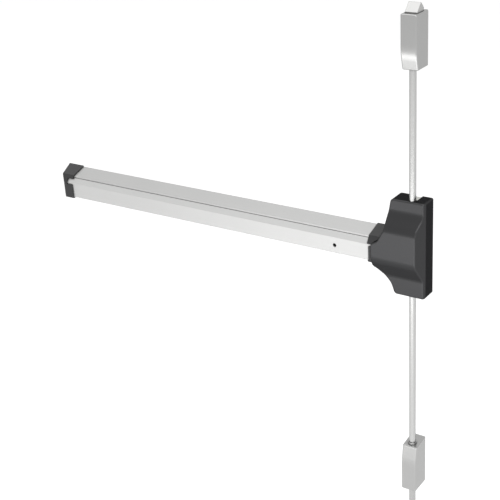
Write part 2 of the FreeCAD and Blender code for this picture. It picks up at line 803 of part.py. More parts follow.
def make_end_cap():
    body = sleeve_solid(cap_end_x, cap_edge_x).common(cap_block(0, 0))
    body = body.cut(sleeve_hollow(cap_end_x - 1, cap_edge_x + 1).common(cap_block(cap_wall, 1)))
    slot = box(cap_edge_x - cap_slot_length, cap_edge_x + 1, pad_shoulder_y - 1, pad_front_y - 10,
               band_top_z, pad_top_z - air_gap)
    body = body.cut(slot)
    boss_start = cap_screw_seat_x + screw_head_height / 2.0
    boss = rod(boss_start, cap_screw_y, 0, screw_radius + trim_wall, end_ear_x - boss_start, X_AXIS)
    sink = cap_screw_seat_x - cap_end_x + 1
    recess = rod(cap_end_x - 1, cap_screw_y, 0, screw_head_radius + slide_gap, sink, X_AXIS)
    hole = rod(cap_end_x - 1, cap_screw_y, 0, screw_radius + fit_gap, end_ear_x - cap_end_x + 2, X_AXIS)
    return fuse([body, boss]).cut(recess).cut(hole)


def make_end_cap_screw():
    seat = V(cap_screw_seat_x, cap_screw_y, 0)
    return pan_screw(seat, X_AXIS, end_ear_x + base_sheet + screw_end - seat.x)


def make_end_bracket():
    """Steel angle at the rail's end: door screws go through it, and it holds the end cap."""
    half = bar_strip_width / 2.0 - slide_gap
    back_y = -rail_wall
    plate = box(end_ear_x, end_ear_x + end_bracket_length, back_y, back_y - base_sheet, -half, half)
    ear = box(end_ear_x, end_ear_x + base_sheet, back_y, end_ear_front_y, -half, half)
    body = fuse([plate, ear])
    body = body.cut(rod(end_ear_x - 1, cap_screw_y, 0, screw_radius, base_sheet + 2, X_AXIS))
    for side in (1, -1):
        x = end_mount_x + side * end_mount_spacing / 2.0
        body = body.cut(rod(x, 1, 0, mount_hole_radius, rail_wall + base_sheet + 2, -Y_AXIS))
    return body


# Head: chassis on the door, cover over it, and two levers that lift and lower the rods
def head_solid(inset):
    """Outer form of the cover, or its hollow when inset by the wall."""
    over = head_depth_middle
    profile = rounded_face(head_profile(), lambda point: V(head_nose_left_x - over, point.x, point.y))
    front = rounded_face(head_front(), lambda point: V(point.x, -2 * over, point.y))
    if inset > 0:
        profile = profile.makeOffset2D(-inset)
        front = front.makeOffset2D(-inset)
    body = profile.extrude(V(head_right_x - head_nose_left_x + 2 * over, 0, 0))
    body = body.common(front.extrude(V(0, 2 * over + inset, 0)))
    run = head_right_x - head_facet_front_x
    rise = head_depth_middle + head_facet_back_y
    facet = [
        (head_right_x + over, head_facet_back_y + inset),
        (head_right_x - inset, head_facet_back_y + inset),
        (head_facet_front_x - run - inset, -head_depth_middle - rise + inset),
        (head_right_x + over, -head_depth_middle - rise + inset),
    ]
    return body.cut(prism_z(facet, head_bottom_z - over, head_top_z + over))


def head_profile():
    """Side outline of the cover as (y, z, corner radius)."""
    return [
        (2, head_top_z, 0),
        (-head_depth_ends, head_top_z, 0),
        (-head_depth_ends, upper_bend_z, head_swell_radius),
        (-head_depth_middle, bulge_top_z, head_swell_radius),
        (-head_depth_middle, bulge_bottom_z, head_swell_radius),
        (-head_depth_ends, lower_bend_z, head_crease_radius),
        (-head_depth_ends, head_bottom_z, 0),
        (2, head_bottom_z, 0),
    ]


def head_front():
    """Front outline of the cover as (x, z, corner radius), with its nose over the pad."""
    return [
        (head_right_x, head_top_z, head_edge_radius),
        (head_top_left_x, head_top_z, head_corner_radius),
        (head_left_x, head_waist_z, head_waist_radius),
        (head_left_x, nose_root_top_z, nose_root_radius),
        (nose_shoulder_x, nose_shoulder_z, nose_shoulder_radius),
        (head_nose_left_x, nose_top_z, nose_top_radius),
        (head_nose_left_x, nose_bottom_z, nose_bottom_radius),
        (nose_heel_x, nose_heel_z, nose_heel_radius),
        (nose_foot_x, nose_foot_z, nose_foot_radius),
        (head_foot_left_x, head_bottom_z, head_corner_radius),
        (head_right_x, head_bottom_z, head_edge_radius),
    ]


def sharp_outer_edge(shape, edge):
    """True for an edge in front of the door face where two faces meet at an angle."""
    middle = edge.CenterOfMass
    if middle.y > -8 or edge.Length < 0.5:
        return False
    normals = []
    for face in shape.Faces:
        if any(other.isSame(edge) for other in face.Edges):
            u, v = face.Surface.parameter(middle)
            normals.append(face.normalAt(u, v))
    return len(normals) == 2 and abs(normals[0].dot(normals[1])) < 0.985


def rod_notch(z0, z1, slack):
    """Slot for a rod, open to the door so that the cover goes over the rods."""
    width = rod_radius + slack
    return fuse([rod(0, rod_y, z0, width, z1 - z0), box(-width, width, rod_y, 5, z0, z1)])


def make_head_cover():
    outer = head_solid(0)
    sharp = [edge for edge in outer.Edges if sharp_outer_edge(outer, edge)]
    outer = outer.makeFillet(head_fillet, sharp)
    body = outer.cut(head_solid(head_wall))
    opening = trim_outline(trim_gap + trim_wall + cover_gap)
    opening = [(5, opening[0][1])] + opening + [(5, opening[-1][1])]
    body = body.cut(prism_x(opening, head_nose_left_x - 5, head_left_x + head_wall + opening_reach))
    body = body.cut(rod_notch(head_top_z - head_wall - 1, head_top_z + 1, rod_notch_slack))
    body = body.cut(rod_notch(head_bottom_z - 1, head_bottom_z + head_wall + 1, rod_notch_slack))
    for x in cover_screw_x:
        body = body.cut(rod(x, cover_screw_y, head_bottom_z - 1, screw_radius + fit_gap, head_wall + 2))
    return body


def make_cover_screws():
    screws = []
    length = head_wall + cover_gap + chassis_sheet + screw_end
    for x in cover_screw_x:
        screws.append(pan_screw(V(x, cover_screw_y, head_bottom_z), Z_AXIS, length))
    return Part.makeCompound(screws)


def make_chassis():
    """Plate on the door with flanges for the rods, tabs for the cover and lugs for the rail."""
    left = head_left_x + head_wall + cover_gap
    right = head_right_x - head_wall - cover_gap
    low = head_bottom_z + head_wall + cover_gap
    high = head_top_z - head_wall - cover_gap
    inset = (head_wall + cover_gap) * slant_share
    corner = head_corner_radius - head_wall - cover_gap
    outline = [
        (head_foot_left_x + inset, low, corner),
        (right, low, 0),
        (right, high, 0),
        (head_top_left_x + inset, high, corner),
        (left, head_waist_z, 0),
        (left, chassis_knee_z, 0),
        (nose_foot_x + inset, nose_foot_z, 0),
    ]
    plate = rounded_face(outline, lambda point: V(point.x, 0, point.y)).extrude(V(0, -chassis_sheet, 0))
    pieces = [plate]
    tab_y = cover_screw_y - screw_head_radius
    for z in (low, high - chassis_sheet):
        pieces.append(box(cover_screw_left_x - tab_reach, cover_screw_right_x + tab_reach, 0, tab_y,
                          z, z + chassis_sheet))
    flange_y = rod_y - rod_radius - fit_gap - bushing_wall - flange_rim
    for side in (1, -1):
        z0 = side * chassis_flange_z
        z1 = z0 - side * chassis_flange_sheet
        pieces.append(box(-flange_half_width, flange_half_width, 0, flange_y, z0, z1))
        lug_front_y = -rail_wall - chassis_sheet
        lug_end_x = left + chassis_sheet
        low_z = side * lug_z
        high_z = side * (lug_z + lug_height)
        pieces.append(box(rail_right_x - lug_length, lug_end_x, -rail_wall, lug_front_y, low_z, high_z))
        pieces.append(box(rail_right_x + slide_gap, lug_end_x, 0, lug_front_y, low_z, high_z))
    body = fuse(pieces)
    for side in (1, -1):
        z0 = side * chassis_flange_z - chassis_flange_sheet
        body = body.cut(rod(0, rod_y, z0, rod_radius + fit_gap + bushing_wall, 2 * chassis_flange_sheet))
        for other in (1, -1):
            x = head_mount_x + other * head_mount_spacing_x / 2.0
            z = side * head_mount_spacing_z / 2.0
            body = body.cut(rod(x, 1, z, mount_hole_radius, chassis_sheet + 2, -Y_AXIS))
    for x in cover_screw_x:
        body = body.cut(rod(x, cover_screw_y, low - 1, screw_radius, chassis_sheet + 2))
    return body


def make_lug_screws():
    """Heads of the two screws that hold the chassis lugs to the rail's web."""
    x = rail_right_x - lug_length * lug_screw_share
    shapes = []
    for side in (1, -1):
        z = side * (lug_z + lug_height / 2.0)
        shapes.append(rod(x, -rail_wall - chassis_sheet, z, lug_screw_radius, lug_screw_height, -Y_AXIS))
    return Part.makeCompound(shapes)


def make_lever_pins():
    """Shouldered studs, welded to the chassis, on which the two lift levers turn."""
    pins = []
    shoulder_radius = pivot_pin_radius + pivot_shoulder
    shoulder_y = lever_back_y + slide_gap
    head_y = lever_front_y - slide_gap
    stand = -chassis_sheet - shoulder_y
    for side in (1, -1):
        z = side * lever_pivot_z
        shoulder = rod(lever_pivot_x, -chassis_sheet, z, shoulder_radius, stand, -Y_AXIS)
        journal = rod(lever_pivot_x, shoulder_y, z, pivot_pin_radius, shoulder_y - head_y, -Y_AXIS)
        head = rod(lever_pivot_x, head_y, z, shoulder_radius, crank_head_height, -Y_AXIS)
        pins.append(fuse([shoulder, journal, head]))
    return Part.makeCompound(pins)


def lever_place(side, shape):
    """Turns a lever piece, drawn at mid swing, to its rest angle."""
    return turn(shape, -side * math.degrees(lever_swing), V(lever_pivot_x, 0, side * lever_pivot_z), Y_AXIS)


def make_lever(side):
    """Bell crank lever: a short arm to the drive slide and a long arm to the rod."""
    pivot_z = side * lever_pivot_z
    input_z = side * lever_input_z
    tip_x = lever_pivot_x + lever_output_arm
    depth = lever_thickness
    eye = pivot_pin_radius + pivot_eye
    pieces = [
        rod(lever_pivot_x, lever_back_y, pivot_z, eye, depth, -Y_AXIS),
        rod(lever_pivot_x, lever_back_y, input_z, lever_pin_radius + pin_rim, depth, -Y_AXIS),
        rod(tip_x, lever_back_y, pivot_z, lift_pin_radius + pin_rim, depth, -Y_AXIS),
        box(lever_pivot_x, tip_x, lever_back_y, lever_front_y,
            pivot_z - lever_arm_half, pivot_z + lever_arm_half),
        box(lever_pivot_x - lever_arm_half, lever_pivot_x + lever_arm_half, lever_back_y, lever_front_y,
            pivot_z, input_z),
    ]
    body = fuse(pieces)
    start_y = lever_back_y + 1
    body = body.cut(rod(lever_pivot_x, start_y, pivot_z, pivot_pin_radius + fit_gap, depth + 2, -Y_AXIS))
    body = body.cut(rod(lever_pivot_x, start_y, input_z, lever_pin_radius, depth + 2, -Y_AXIS))
    body = body.cut(rod(tip_x, start_y, pivot_z, lift_pin_radius, depth + 2, -Y_AXIS))
    return lever_place(side, body)


def make_input_pin(side):
    """Pin from a lever's short arm back into the drive slide's slot."""
    start_y = lever_front_y
    length = strip_front_y - slide_gap - lever_front_y
    pin = rod(lever_pivot_x, start_y, side * lever_input_z, lever_pin_radius, length, Y_AXIS)
    return lever_place(side, pin)


def make_lift_pin(side):
    """Pin from a lever's long arm forward into the rod connector's slot."""
    tip_x = lever_pivot_x + lever_output_arm
    length = lever_back_y - (connector_back_y - connector_pocket + slide_gap)
    pin = rod(tip_x, lever_back_y, side * lever_pivot_z, lift_pin_radius, length, -Y_AXIS)
    return lever_place(side, pin)


# Rods, connectors and nuts
def rod_end_z(side):
    """Height of a rod's inner end, inside its connector."""
    return side * (connector_rest_z + connector_body - rod_grip)


def make_connector(side):
    """Block on the rod's end with a cross slot for the lever's pin."""
    z0 = side * (connector_rest_z - connector_heel)
    z1 = side * (connector_rest_z + connector_body)
    body = box(-connector_half_width, connector_half_width, connector_back_y, connector_front_y, z0, z1)
    near = lever_output_arm * (1 - math.cos(lever_swing)) + lift_pin_radius + slide_gap
    far = lift_pin_radius + slide_gap
    half = lift_pin_radius + slot_slack
    z = side * connector_rest_z
    pocket = box(-near, far, connector_back_y + 1, connector_back_y - connector_pocket, z - half, z + half)
    bore = rod(0, rod_y, rod_end_z(side), rod_radius, rod_grip + 1, Z_AXIS * side)
    return body.cut(pocket).cut(bore)


def make_lock_nut(side):
    z = connector_rest_z + connector_body
    start = z if side > 0 else -z - nut_height
    nut = hexagon(0, rod_y, start, nut_flats, nut_height)
    return nut.cut(rod(0, rod_y, start - 1, rod_radius, nut_height + 2))


def make_guide_bushing(side):
    """Flanged nylon bushing in the chassis flange."""
    outer = rod_radius + fit_gap + bushing_wall
    low = chassis_flange_z - chassis_flange_sheet
    length = chassis_flange_sheet + bushing_lip
    start = low if side > 0 else -chassis_flange_z - bushing_lip
    collar_z = chassis_flange_z if side > 0 else -chassis_flange_z - bushing_lip
    sleeve = rod(0, rod_y, start, outer, length)
    lip = rod(0, rod_y, collar_z, outer + bushing_collar, bushing_lip)
    body = fuse([sleeve, lip])
    return body.cut(rod(0, rod_y, start - 1, rod_radius + fit_gap, length + 2))


def make_top_rod():
    z0 = rod_end_z(1)
    return rod(0, rod_y, z0, rod_radius, bolt_bottom_z + rod_grip - z0).cut(make_top_bolt_pin())


def make_bottom_rod():
    z0 = coupling_top_z - rod_grip
    return rod(0, rod_y, z0, rod_radius, rod_end_z(-1) - z0)


# Top latch
def latch_shell(profile, wall_profile):
    """Latch case: a solid with rounded front edges, hollowed and open to the door."""
    outer = rounded_face(profile, lambda point: V(-latch_half_width, point.x, point.y))
    body = outer.extrude(V(2 * latch_half_width, 0, 0))
    for side in (1, -1):
        edges = []
        for edge in body.Edges:
            middle = edge.CenterOfMass
            if abs(middle.x - side * latch_half_width) < 1e-4 and middle.y < -1:
                edges.append(edge)
        body = body.makeFillet(latch_edge_radius, edges)
    inner = rounded_face(wall_profile, lambda point: V(-latch_half_width + latch_wall, point.x, point.y))
    return body.cut(inner.extrude(V(2 * (latch_half_width - latch_wall), 0, 0)))


def top_case_profile(inset):
    """Side outline of the top latch case: flat front, toe curving back to the door."""
    back_y = 2 if inset else 0
    radius = latch_edge_radius - inset * 0.7
    return [
        (back_y, top_latch_top_z - inset, 0),
        (-latch_depth + inset, top_latch_top_z - inset, radius),
        (-latch_depth + inset, top_latch_bend_z, latch_bend_radius),
        (-top_latch_toe_depth + inset, top_latch_bottom_z + inset, radius),
        (back_y, top_latch_bottom_z + inset, 0),
    ]


def make_top_latch_case():
    body = latch_shell(top_case_profile(0), top_case_profile(latch_wall))
    opening_x = bolt_width / 2.0 + slide_gap
    body = body.cut(box(-opening_x, opening_x, bolt_back_y + slide_gap, bolt_front_y - slide_gap,
                        top_latch_top_z - latch_wall - 1, top_latch_top_z + 1))
    wall_top_z = top_latch_bottom_z + latch_wall
    body = body.cut(rod_notch(top_latch_bottom_z - 1, wall_top_z + 1, latch_notch_slack))
    return body.cut(case_screw_hole(top_case_screw_z, screw_radius + fit_gap))


def case_screw_hole(z, radius):
    """Hole from the left side of a latch case into its base's ear."""
    length = latch_wall + base_edge_gap + ear_sheet + 2
    return rod(-latch_half_width - 1, case_screw_y, z, radius, length, X_AXIS)


def latch_base(low, high, guide_radius, screw_z, mount_z, mount_spacing):
    """Back plate of a latch with a guide flange, two side ears and two fixing holes."""
    half = latch_half_width - latch_wall - base_edge_gap
    guide_y = rod_y - guide_radius - guide_rim
    pieces = [
        box(-half, half, 0, -base_plate, low, high),
        box(-half, half, 0, guide_y, low, low + base_plate),
    ]
    for side in (1, -1):
        pieces.append(box(side * half, side * (half - ear_sheet), 0, -ear_depth,
                          screw_z - ear_height / 2.0, screw_z + ear_height / 2.0))
    body = fuse(pieces)
    body = body.cut(rod(0, rod_y, low - 1, guide_radius, base_plate + 2))
    body = body.cut(case_screw_hole(screw_z, screw_radius))
    for side in (1, -1):
        z = mount_z + side * mount_spacing / 2.0
        body = body.cut(rod(0, 1, z, mount_hole_radius, base_plate + 2, -Y_AXIS))
    return body


def make_top_latch_base():
    low = top_latch_bottom_z + latch_wall + base_edge_gap
    high = top_latch_top_z - latch_wall - base_edge_gap
    return latch_base(low, high, rod_radius + fit_gap, top_case_screw_z, top_mount_z, top_mount_spacing)


def make_top_bolt():
    """Bolt with a double-bevelled nose, drilled for the rod and its cross pin."""
    half = bolt_width / 2.0
    profile = [
        (bolt_back_y, bolt_bottom_z, 0),
        (bolt_back_y, bolt_tip_z - bolt_back_drop, bolt_nose_radius),
        (bolt_apex_y, bolt_tip_z, bolt_nose_radius),
        (bolt_front_y, bolt_tip_z - bolt_throw + bolt_front_rise, bolt_heel_radius),
        (bolt_front_y, bolt_bottom_z, 0),
    ]
    body = rounded_face(profile, lambda point: V(-half, point.x, point.y)).extrude(V(bolt_width, 0, 0))
    body = body.cut(rod(0, rod_y, bolt_bottom_z - 1, rod_radius, rod_grip + 1))
    return body.cut(make_top_bolt_pin())


def make_top_bolt_pin():
    return rod(-bolt_width / 2.0, rod_y, bolt_bottom_z + rod_grip / 2.0, bolt_pin_radius, bolt_width, X_AXIS)


def make_top_bolt_spring():
    start_z = top_latch_bottom_z + latch_wall + base_edge_gap + base_plate
    length = bolt_bottom_z - start_z
    start = V(0, rod_y, start_z)
    return make_spring(start, Z_AXIS, length, bolt_spring_radius, bolt_spring_wire, bolt_spring_turns)


# Bottom latch
def bottom_case_profile(inset):
    """Side outline of the bottom latch case: sloped top, brow curving down to a flat front."""
    back_y = 2 if inset else 0
    radius = latch_edge_radius - inset * 0.7
    slope = bottom_latch_brow_drop / bottom_latch_brow_depth
    return [
        (back_y, bottom_latch_top_z - inset + slope * back_y, 0),
        (-bottom_latch_brow_depth + inset, bottom_latch_top_z - bottom_latch_brow_drop - inset, radius),
        (-latch_depth + inset, bottom_latch_bend_z, latch_bend_radius),
        (-latch_depth + inset, bottom_latch_bottom_z + inset, radius),
        (back_y, bottom_latch_bottom_z + inset, 0),
    ]


def make_bottom_latch_case():
    body = latch_shell(bottom_case_profile(0), bottom_case_profile(latch_wall))
    ring = rod_radius + fit_gap + bushing_wall
    body = body.cut(rod(0, rod_y, ring_bottom_z, ring, bottom_latch_top_z - ring_bottom_z + 5))
    hole_radius = bottom_bolt_radius + latch_notch_slack
    body = body.cut(rod(0, rod_y, bottom_latch_bottom_z - 1, hole_radius, latch_wall + 2))
    return body.cut(case_screw_hole(bottom_case_screw_z, screw_radius + fit_gap))


def make_case_ring():
    """Black bushing where the bottom rod enters the case."""
    outer = rod_radius + fit_gap + bushing_wall
    body = rod(0, rod_y, ring_bottom_z, outer, ring_height)
    return body.cut(rod(0, rod_y, ring_bottom_z - 1, rod_radius + fit_gap, ring_height + 2))


def make_bottom_latch_base():
    low = bottom_latch_bottom_z + latch_wall + base_edge_gap
    high = bottom_latch_top_z - latch_wall - base_edge_gap - bottom_base_drop
    return latch_base(low, high, bottom_bolt_radius + fit_gap, bottom_case_screw_z, bottom_mount_z,
                      bottom_mount_spacing)


def make_rod_coupling():
    body = rod(0, rod_y, coupling_top_z - coupling_height, coupling_radius, coupling_height)
    body = body.cut(rod(0, rod_y, coupling_top_z - rod_grip, rod_radius, rod_grip + 1))
    low_z = coupling_top_z - coupling_height
    return body.cut(rod(0, rod_y, low_z - 1, bottom_bolt_radius, coupling_height - rod_grip))


def make_bottom_bolt():
    top_z = coupling_top_z - rod_grip - 1
    body = rod(0, rod_y, bottom_bolt_tip_z, bottom_bolt_radius, top_z - bottom_bolt_tip_z)
    tip = [edge for edge in body.Edges if abs(edge.CenterOfMass.z - bottom_bolt_tip_z) < 1e-6]
    return body.makeFillet(bottom_tip_radius, tip)


def make_case_screws():
    screws = []
    for z in (top_case_screw_z, bottom_case_screw_z):
        seat = V(-latch_half_width, case_screw_y, z)
        screws.append(pan_screw(seat, X_AXIS, latch_wall + base_edge_gap + ear_sheet))
    return Part.makeCompound(screws)


def make_all():
    """Every piece by its node name."""
    outer_x, inner_x = crank_pivot_x
    top = 1
    bottom = -1
    return {
        "rail": make_rail(),
        "push_pad": make_push_pad(),
        "outer_pad_bracket": make_pad_bracket(outer_x),
        "inner_pad_bracket": make_pad_bracket(inner_x),
        "outer_bell_crank": make_crank(outer_x),
        "inner_bell_crank": make_crank(inner_x),
        "outer_pad_pin": make_pad_pin(outer_x),
        "inner_pad_pin": make_pad_pin(inner_x),
        "outer_crank_base": make_crank_base(outer_x),
        "inner_crank_base": make_crank_base(inner_x),
        "crank_pivot_pins": make_crank_pins(),
        "drive_strip": make_drive_strip(),
        "drive_slide": make_drive_slide(),
        "slide_rivets": make_slide_rivets(),
        "return_spring": make_spring(V(bar_strip_left, spring_y, 0), -X_AXIS, bar_strip_left - anchor_x,
                                     spring_coil_radius, spring_wire_radius, spring_turns),
        "spring_anchor": make_spring_anchor(),
        "rail_rivets": make_rail_rivets(),
        "dogging_screw": make_dogging_screw(),
        "dogging_holder": make_dogging_holder(),
        "dogging_keeper": make_dogging_keeper(),
        "end_cap": make_end_cap(),
        "end_cap_screw": make_end_cap_screw(),
        "end_bracket": make_end_bracket(),
        "collar": make_collar(),
        "head_cover": make_head_cover(),
        "cover_screws": make_cover_screws(),
        "chassis": make_chassis(),
        "lug_screws": make_lug_screws(),
        "lever_pivots": make_lever_pins(),
        "upper_lever": make_lever(top),
        "lower_lever": make_lever(bottom),
        "upper_input_pin": make_input_pin(top),
        "lower_input_pin": make_input_pin(bottom),
        "upper_lift_pin": make_lift_pin(top),
        "lower_lift_pin": make_lift_pin(bottom),
        "top_connector": make_connector(top),
        "bottom_connector": make_connector(bottom),
        "top_lock_nut": make_lock_nut(top),
        "bottom_lock_nut": make_lock_nut(bottom),
        "top_guide_bushing": make_guide_bushing(top),
        "bottom_guide_bushing": make_guide_bushing(bottom),
        "top_rod": make_top_rod(),
        "bottom_rod": make_bottom_rod(),
        "top_bolt": make_top_bolt(),
        "top_bolt_pin": make_top_bolt_pin(),
        "top_bolt_spring": make_top_bolt_spring(),
        "top_latch_case": make_top_latch_case(),
        "top_latch_base": make_top_latch_base(),
        "bottom_latch_case": make_bottom_latch_case(),
        "bottom_latch_base": make_bottom_latch_base(),
        "case_ring": make_case_ring(),
        "rod_coupling": make_rod_coupling(),
        "bottom_bolt": make_bottom_bolt(),
        "case_screws": make_case_screws(),
    }


def main():
    os.makedirs("parts", exist_ok=True)
    for name, shape in make_all().items():
        shape.exportStep("parts/" + name + ".step")


main()
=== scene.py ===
"""Vertical rod exit device: finishes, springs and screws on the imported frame, in a pale studio."""
import json
import logging
import math
from dataclasses import dataclass
from enum import Enum
from typing import Callable, Dict, List, Optional, Sequence, Tuple, Union

import bpy
from mathutils import Matrix, Vector

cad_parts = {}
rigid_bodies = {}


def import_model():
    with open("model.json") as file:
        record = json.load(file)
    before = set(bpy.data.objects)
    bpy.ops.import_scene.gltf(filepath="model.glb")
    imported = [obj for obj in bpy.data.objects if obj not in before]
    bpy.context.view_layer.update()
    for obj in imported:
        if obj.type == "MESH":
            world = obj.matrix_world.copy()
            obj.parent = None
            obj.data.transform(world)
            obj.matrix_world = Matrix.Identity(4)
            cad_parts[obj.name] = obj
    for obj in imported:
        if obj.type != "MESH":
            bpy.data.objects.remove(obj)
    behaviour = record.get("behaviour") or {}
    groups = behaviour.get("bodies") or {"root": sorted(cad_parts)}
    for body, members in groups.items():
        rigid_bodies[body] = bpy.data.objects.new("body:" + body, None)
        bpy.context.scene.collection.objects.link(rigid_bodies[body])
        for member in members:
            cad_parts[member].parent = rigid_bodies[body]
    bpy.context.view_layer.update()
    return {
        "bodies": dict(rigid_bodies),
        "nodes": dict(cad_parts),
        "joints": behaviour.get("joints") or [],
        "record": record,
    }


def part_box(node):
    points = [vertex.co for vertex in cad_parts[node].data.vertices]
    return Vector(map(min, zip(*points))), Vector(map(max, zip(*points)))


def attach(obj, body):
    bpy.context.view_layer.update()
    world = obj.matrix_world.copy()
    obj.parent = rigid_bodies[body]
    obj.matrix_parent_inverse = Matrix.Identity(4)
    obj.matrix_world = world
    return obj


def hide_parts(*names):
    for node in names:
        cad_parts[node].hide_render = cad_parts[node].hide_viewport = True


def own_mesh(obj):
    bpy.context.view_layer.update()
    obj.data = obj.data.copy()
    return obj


LOG = logging.getLogger("exit_device")
MM = 0.001

Triple = Tuple[float, float, float]
Colour = Tuple[float, float, float, float]
Value = Union[float, bpy.types.NodeSocket]

WHITE: Colour = (1.0, 1.0, 1.0, 1.0)
DUST_COLOUR: Colour = (0.42, 0.41, 0.39, 1.0)
# Near black, laid as painted shade in gaps and creases where ambient occlusion finds them.
PAINTED_SHADE_COLOUR: Colour = (0.02, 0.019, 0.018, 1.0)

NUMBER = "NodeSocketFloat"
VECTOR = "NodeSocketVector"


class Axis(Enum):
    """Direction that a finish, a coil or a screw runs along."""

    BAR = (1.0, 0.0, 0.0)
    DOOR = (0.0, 1.0, 0.0)
    ROD = (0.0, 0.0, 1.0)

    def vector(self) -> Vector:
        """The direction as a vector."""
        return Vector(self.value)


# ---------------------------------------------------------------- shader effects
class NodeSheet:
    """Thin layer over a node tree that adds and joins nodes."""

    def __init__(self, tree: bpy.types.NodeTree) -> None:
        """Keeps the tree.

        Args:
            tree: the node tree of a material, a group or the world.
        """
        self.tree = tree

    def add(self, kind: str, **settings: object) -> bpy.types.Node:
        """Adds a node and sets its properties.

        Args:
            kind: the node's type name.
            **settings: properties of the node, by name.

        Returns:
            The new node.
        """
        node = self.tree.nodes.new(kind)
        for name, value in settings.items():
            setattr(node, name, value)
        return node

    def join(self, source: bpy.types.NodeSocket, target: bpy.types.NodeSocket) -> None:
        """Links two sockets.

        Args:
            source: the output socket.
            target: the input socket.
        """
        self.tree.links.new(source, target)

    def feed(self, value: Value, target: bpy.types.NodeSocket) -> None:
        """Sets an input to a number, or links a socket to it.

        Args:
            value: the number or the output socket.
            target: the input socket.
        """
        if isinstance(value, bpy.types.NodeSocket):
            self.join(value, target)
        else:
            target.default_value = value

    def maths(self, operation: str, first: Value, second: Value) -> bpy.types.NodeSocket:
        """A Math node on two values.

        Args:
            operation: the Math node's operation.
            first: the first value.
            second: the second value.

        Returns:
            The result's socket.
        """
        node = self.add("ShaderNodeMath", operation=operation)
        self.feed(first, node.inputs[0])
        self.feed(second, node.inputs[1])
        return node.outputs[0]

    def spread(self, value: bpy.types.NodeSocket, low: Value, high: Value) -> bpy.types.NodeSocket:
        """Maps 0..1 to a range.

        Args:
            value: the socket to map.
            low: the result at 0.
            high: the result at 1.

        Returns:
            The mapped value's socket.
        """
        node = self.add("ShaderNodeMapRange")
        self.join(value, node.inputs["Value"])
        self.feed(low, node.inputs["To Min"])
        self.feed(high, node.inputs["To Max"])
        return node.outputs["Result"]

    def noise(self, scale: Value, detail: float, roughness: float = 0.5,
              stretch: Optional[bpy.types.NodeSocket] = None) -> bpy.types.NodeSocket:
        """Noise that keeps its place on the piece.

        Args:
            scale: how fine it is.
            detail: how many finer layers it has.
            roughness: how strong those layers are.
            stretch: factors on the place along each axis, if it isn't the same all round.

        Returns:
            The noise's socket, 0..1.
        """
        place = self.add("ShaderNodeTexCoord").outputs["Object"]
        if stretch is not None:
            stretched = self.add("ShaderNodeVectorMath", operation="MULTIPLY")
            self.join(place, stretched.inputs[0])
            self.join(stretch, stretched.inputs[1])
            place = stretched.outputs[0]
        node = self.add("ShaderNodeTexNoise")
        self.join(place, node.inputs["Vector"])
        self.feed(scale, node.inputs["Scale"])
        node.inputs["Detail"].default_value = detail
        node.inputs["Roughness"].default_value = roughness
        return node.outputs["Fac"]

    def lay(self, mask: bpy.types.NodeSocket, under: bpy.types.NodeSocket,
            over: Colour) -> bpy.types.NodeSocket:
        """Lays a colour over another one by a mask.

        Args:
            mask: where the upper colour shows, 0..1.
            under: the lower colour's socket.
            over: the upper colour.

        Returns:
            The mixed colour's socket.
        """
        node = self.add("ShaderNodeMix", data_type="RGBA")
        self.join(mask, node.inputs["Factor"])
        self.join(under, node.inputs["A"])
        node.inputs["B"].default_value = over
        return node.outputs["Result"]


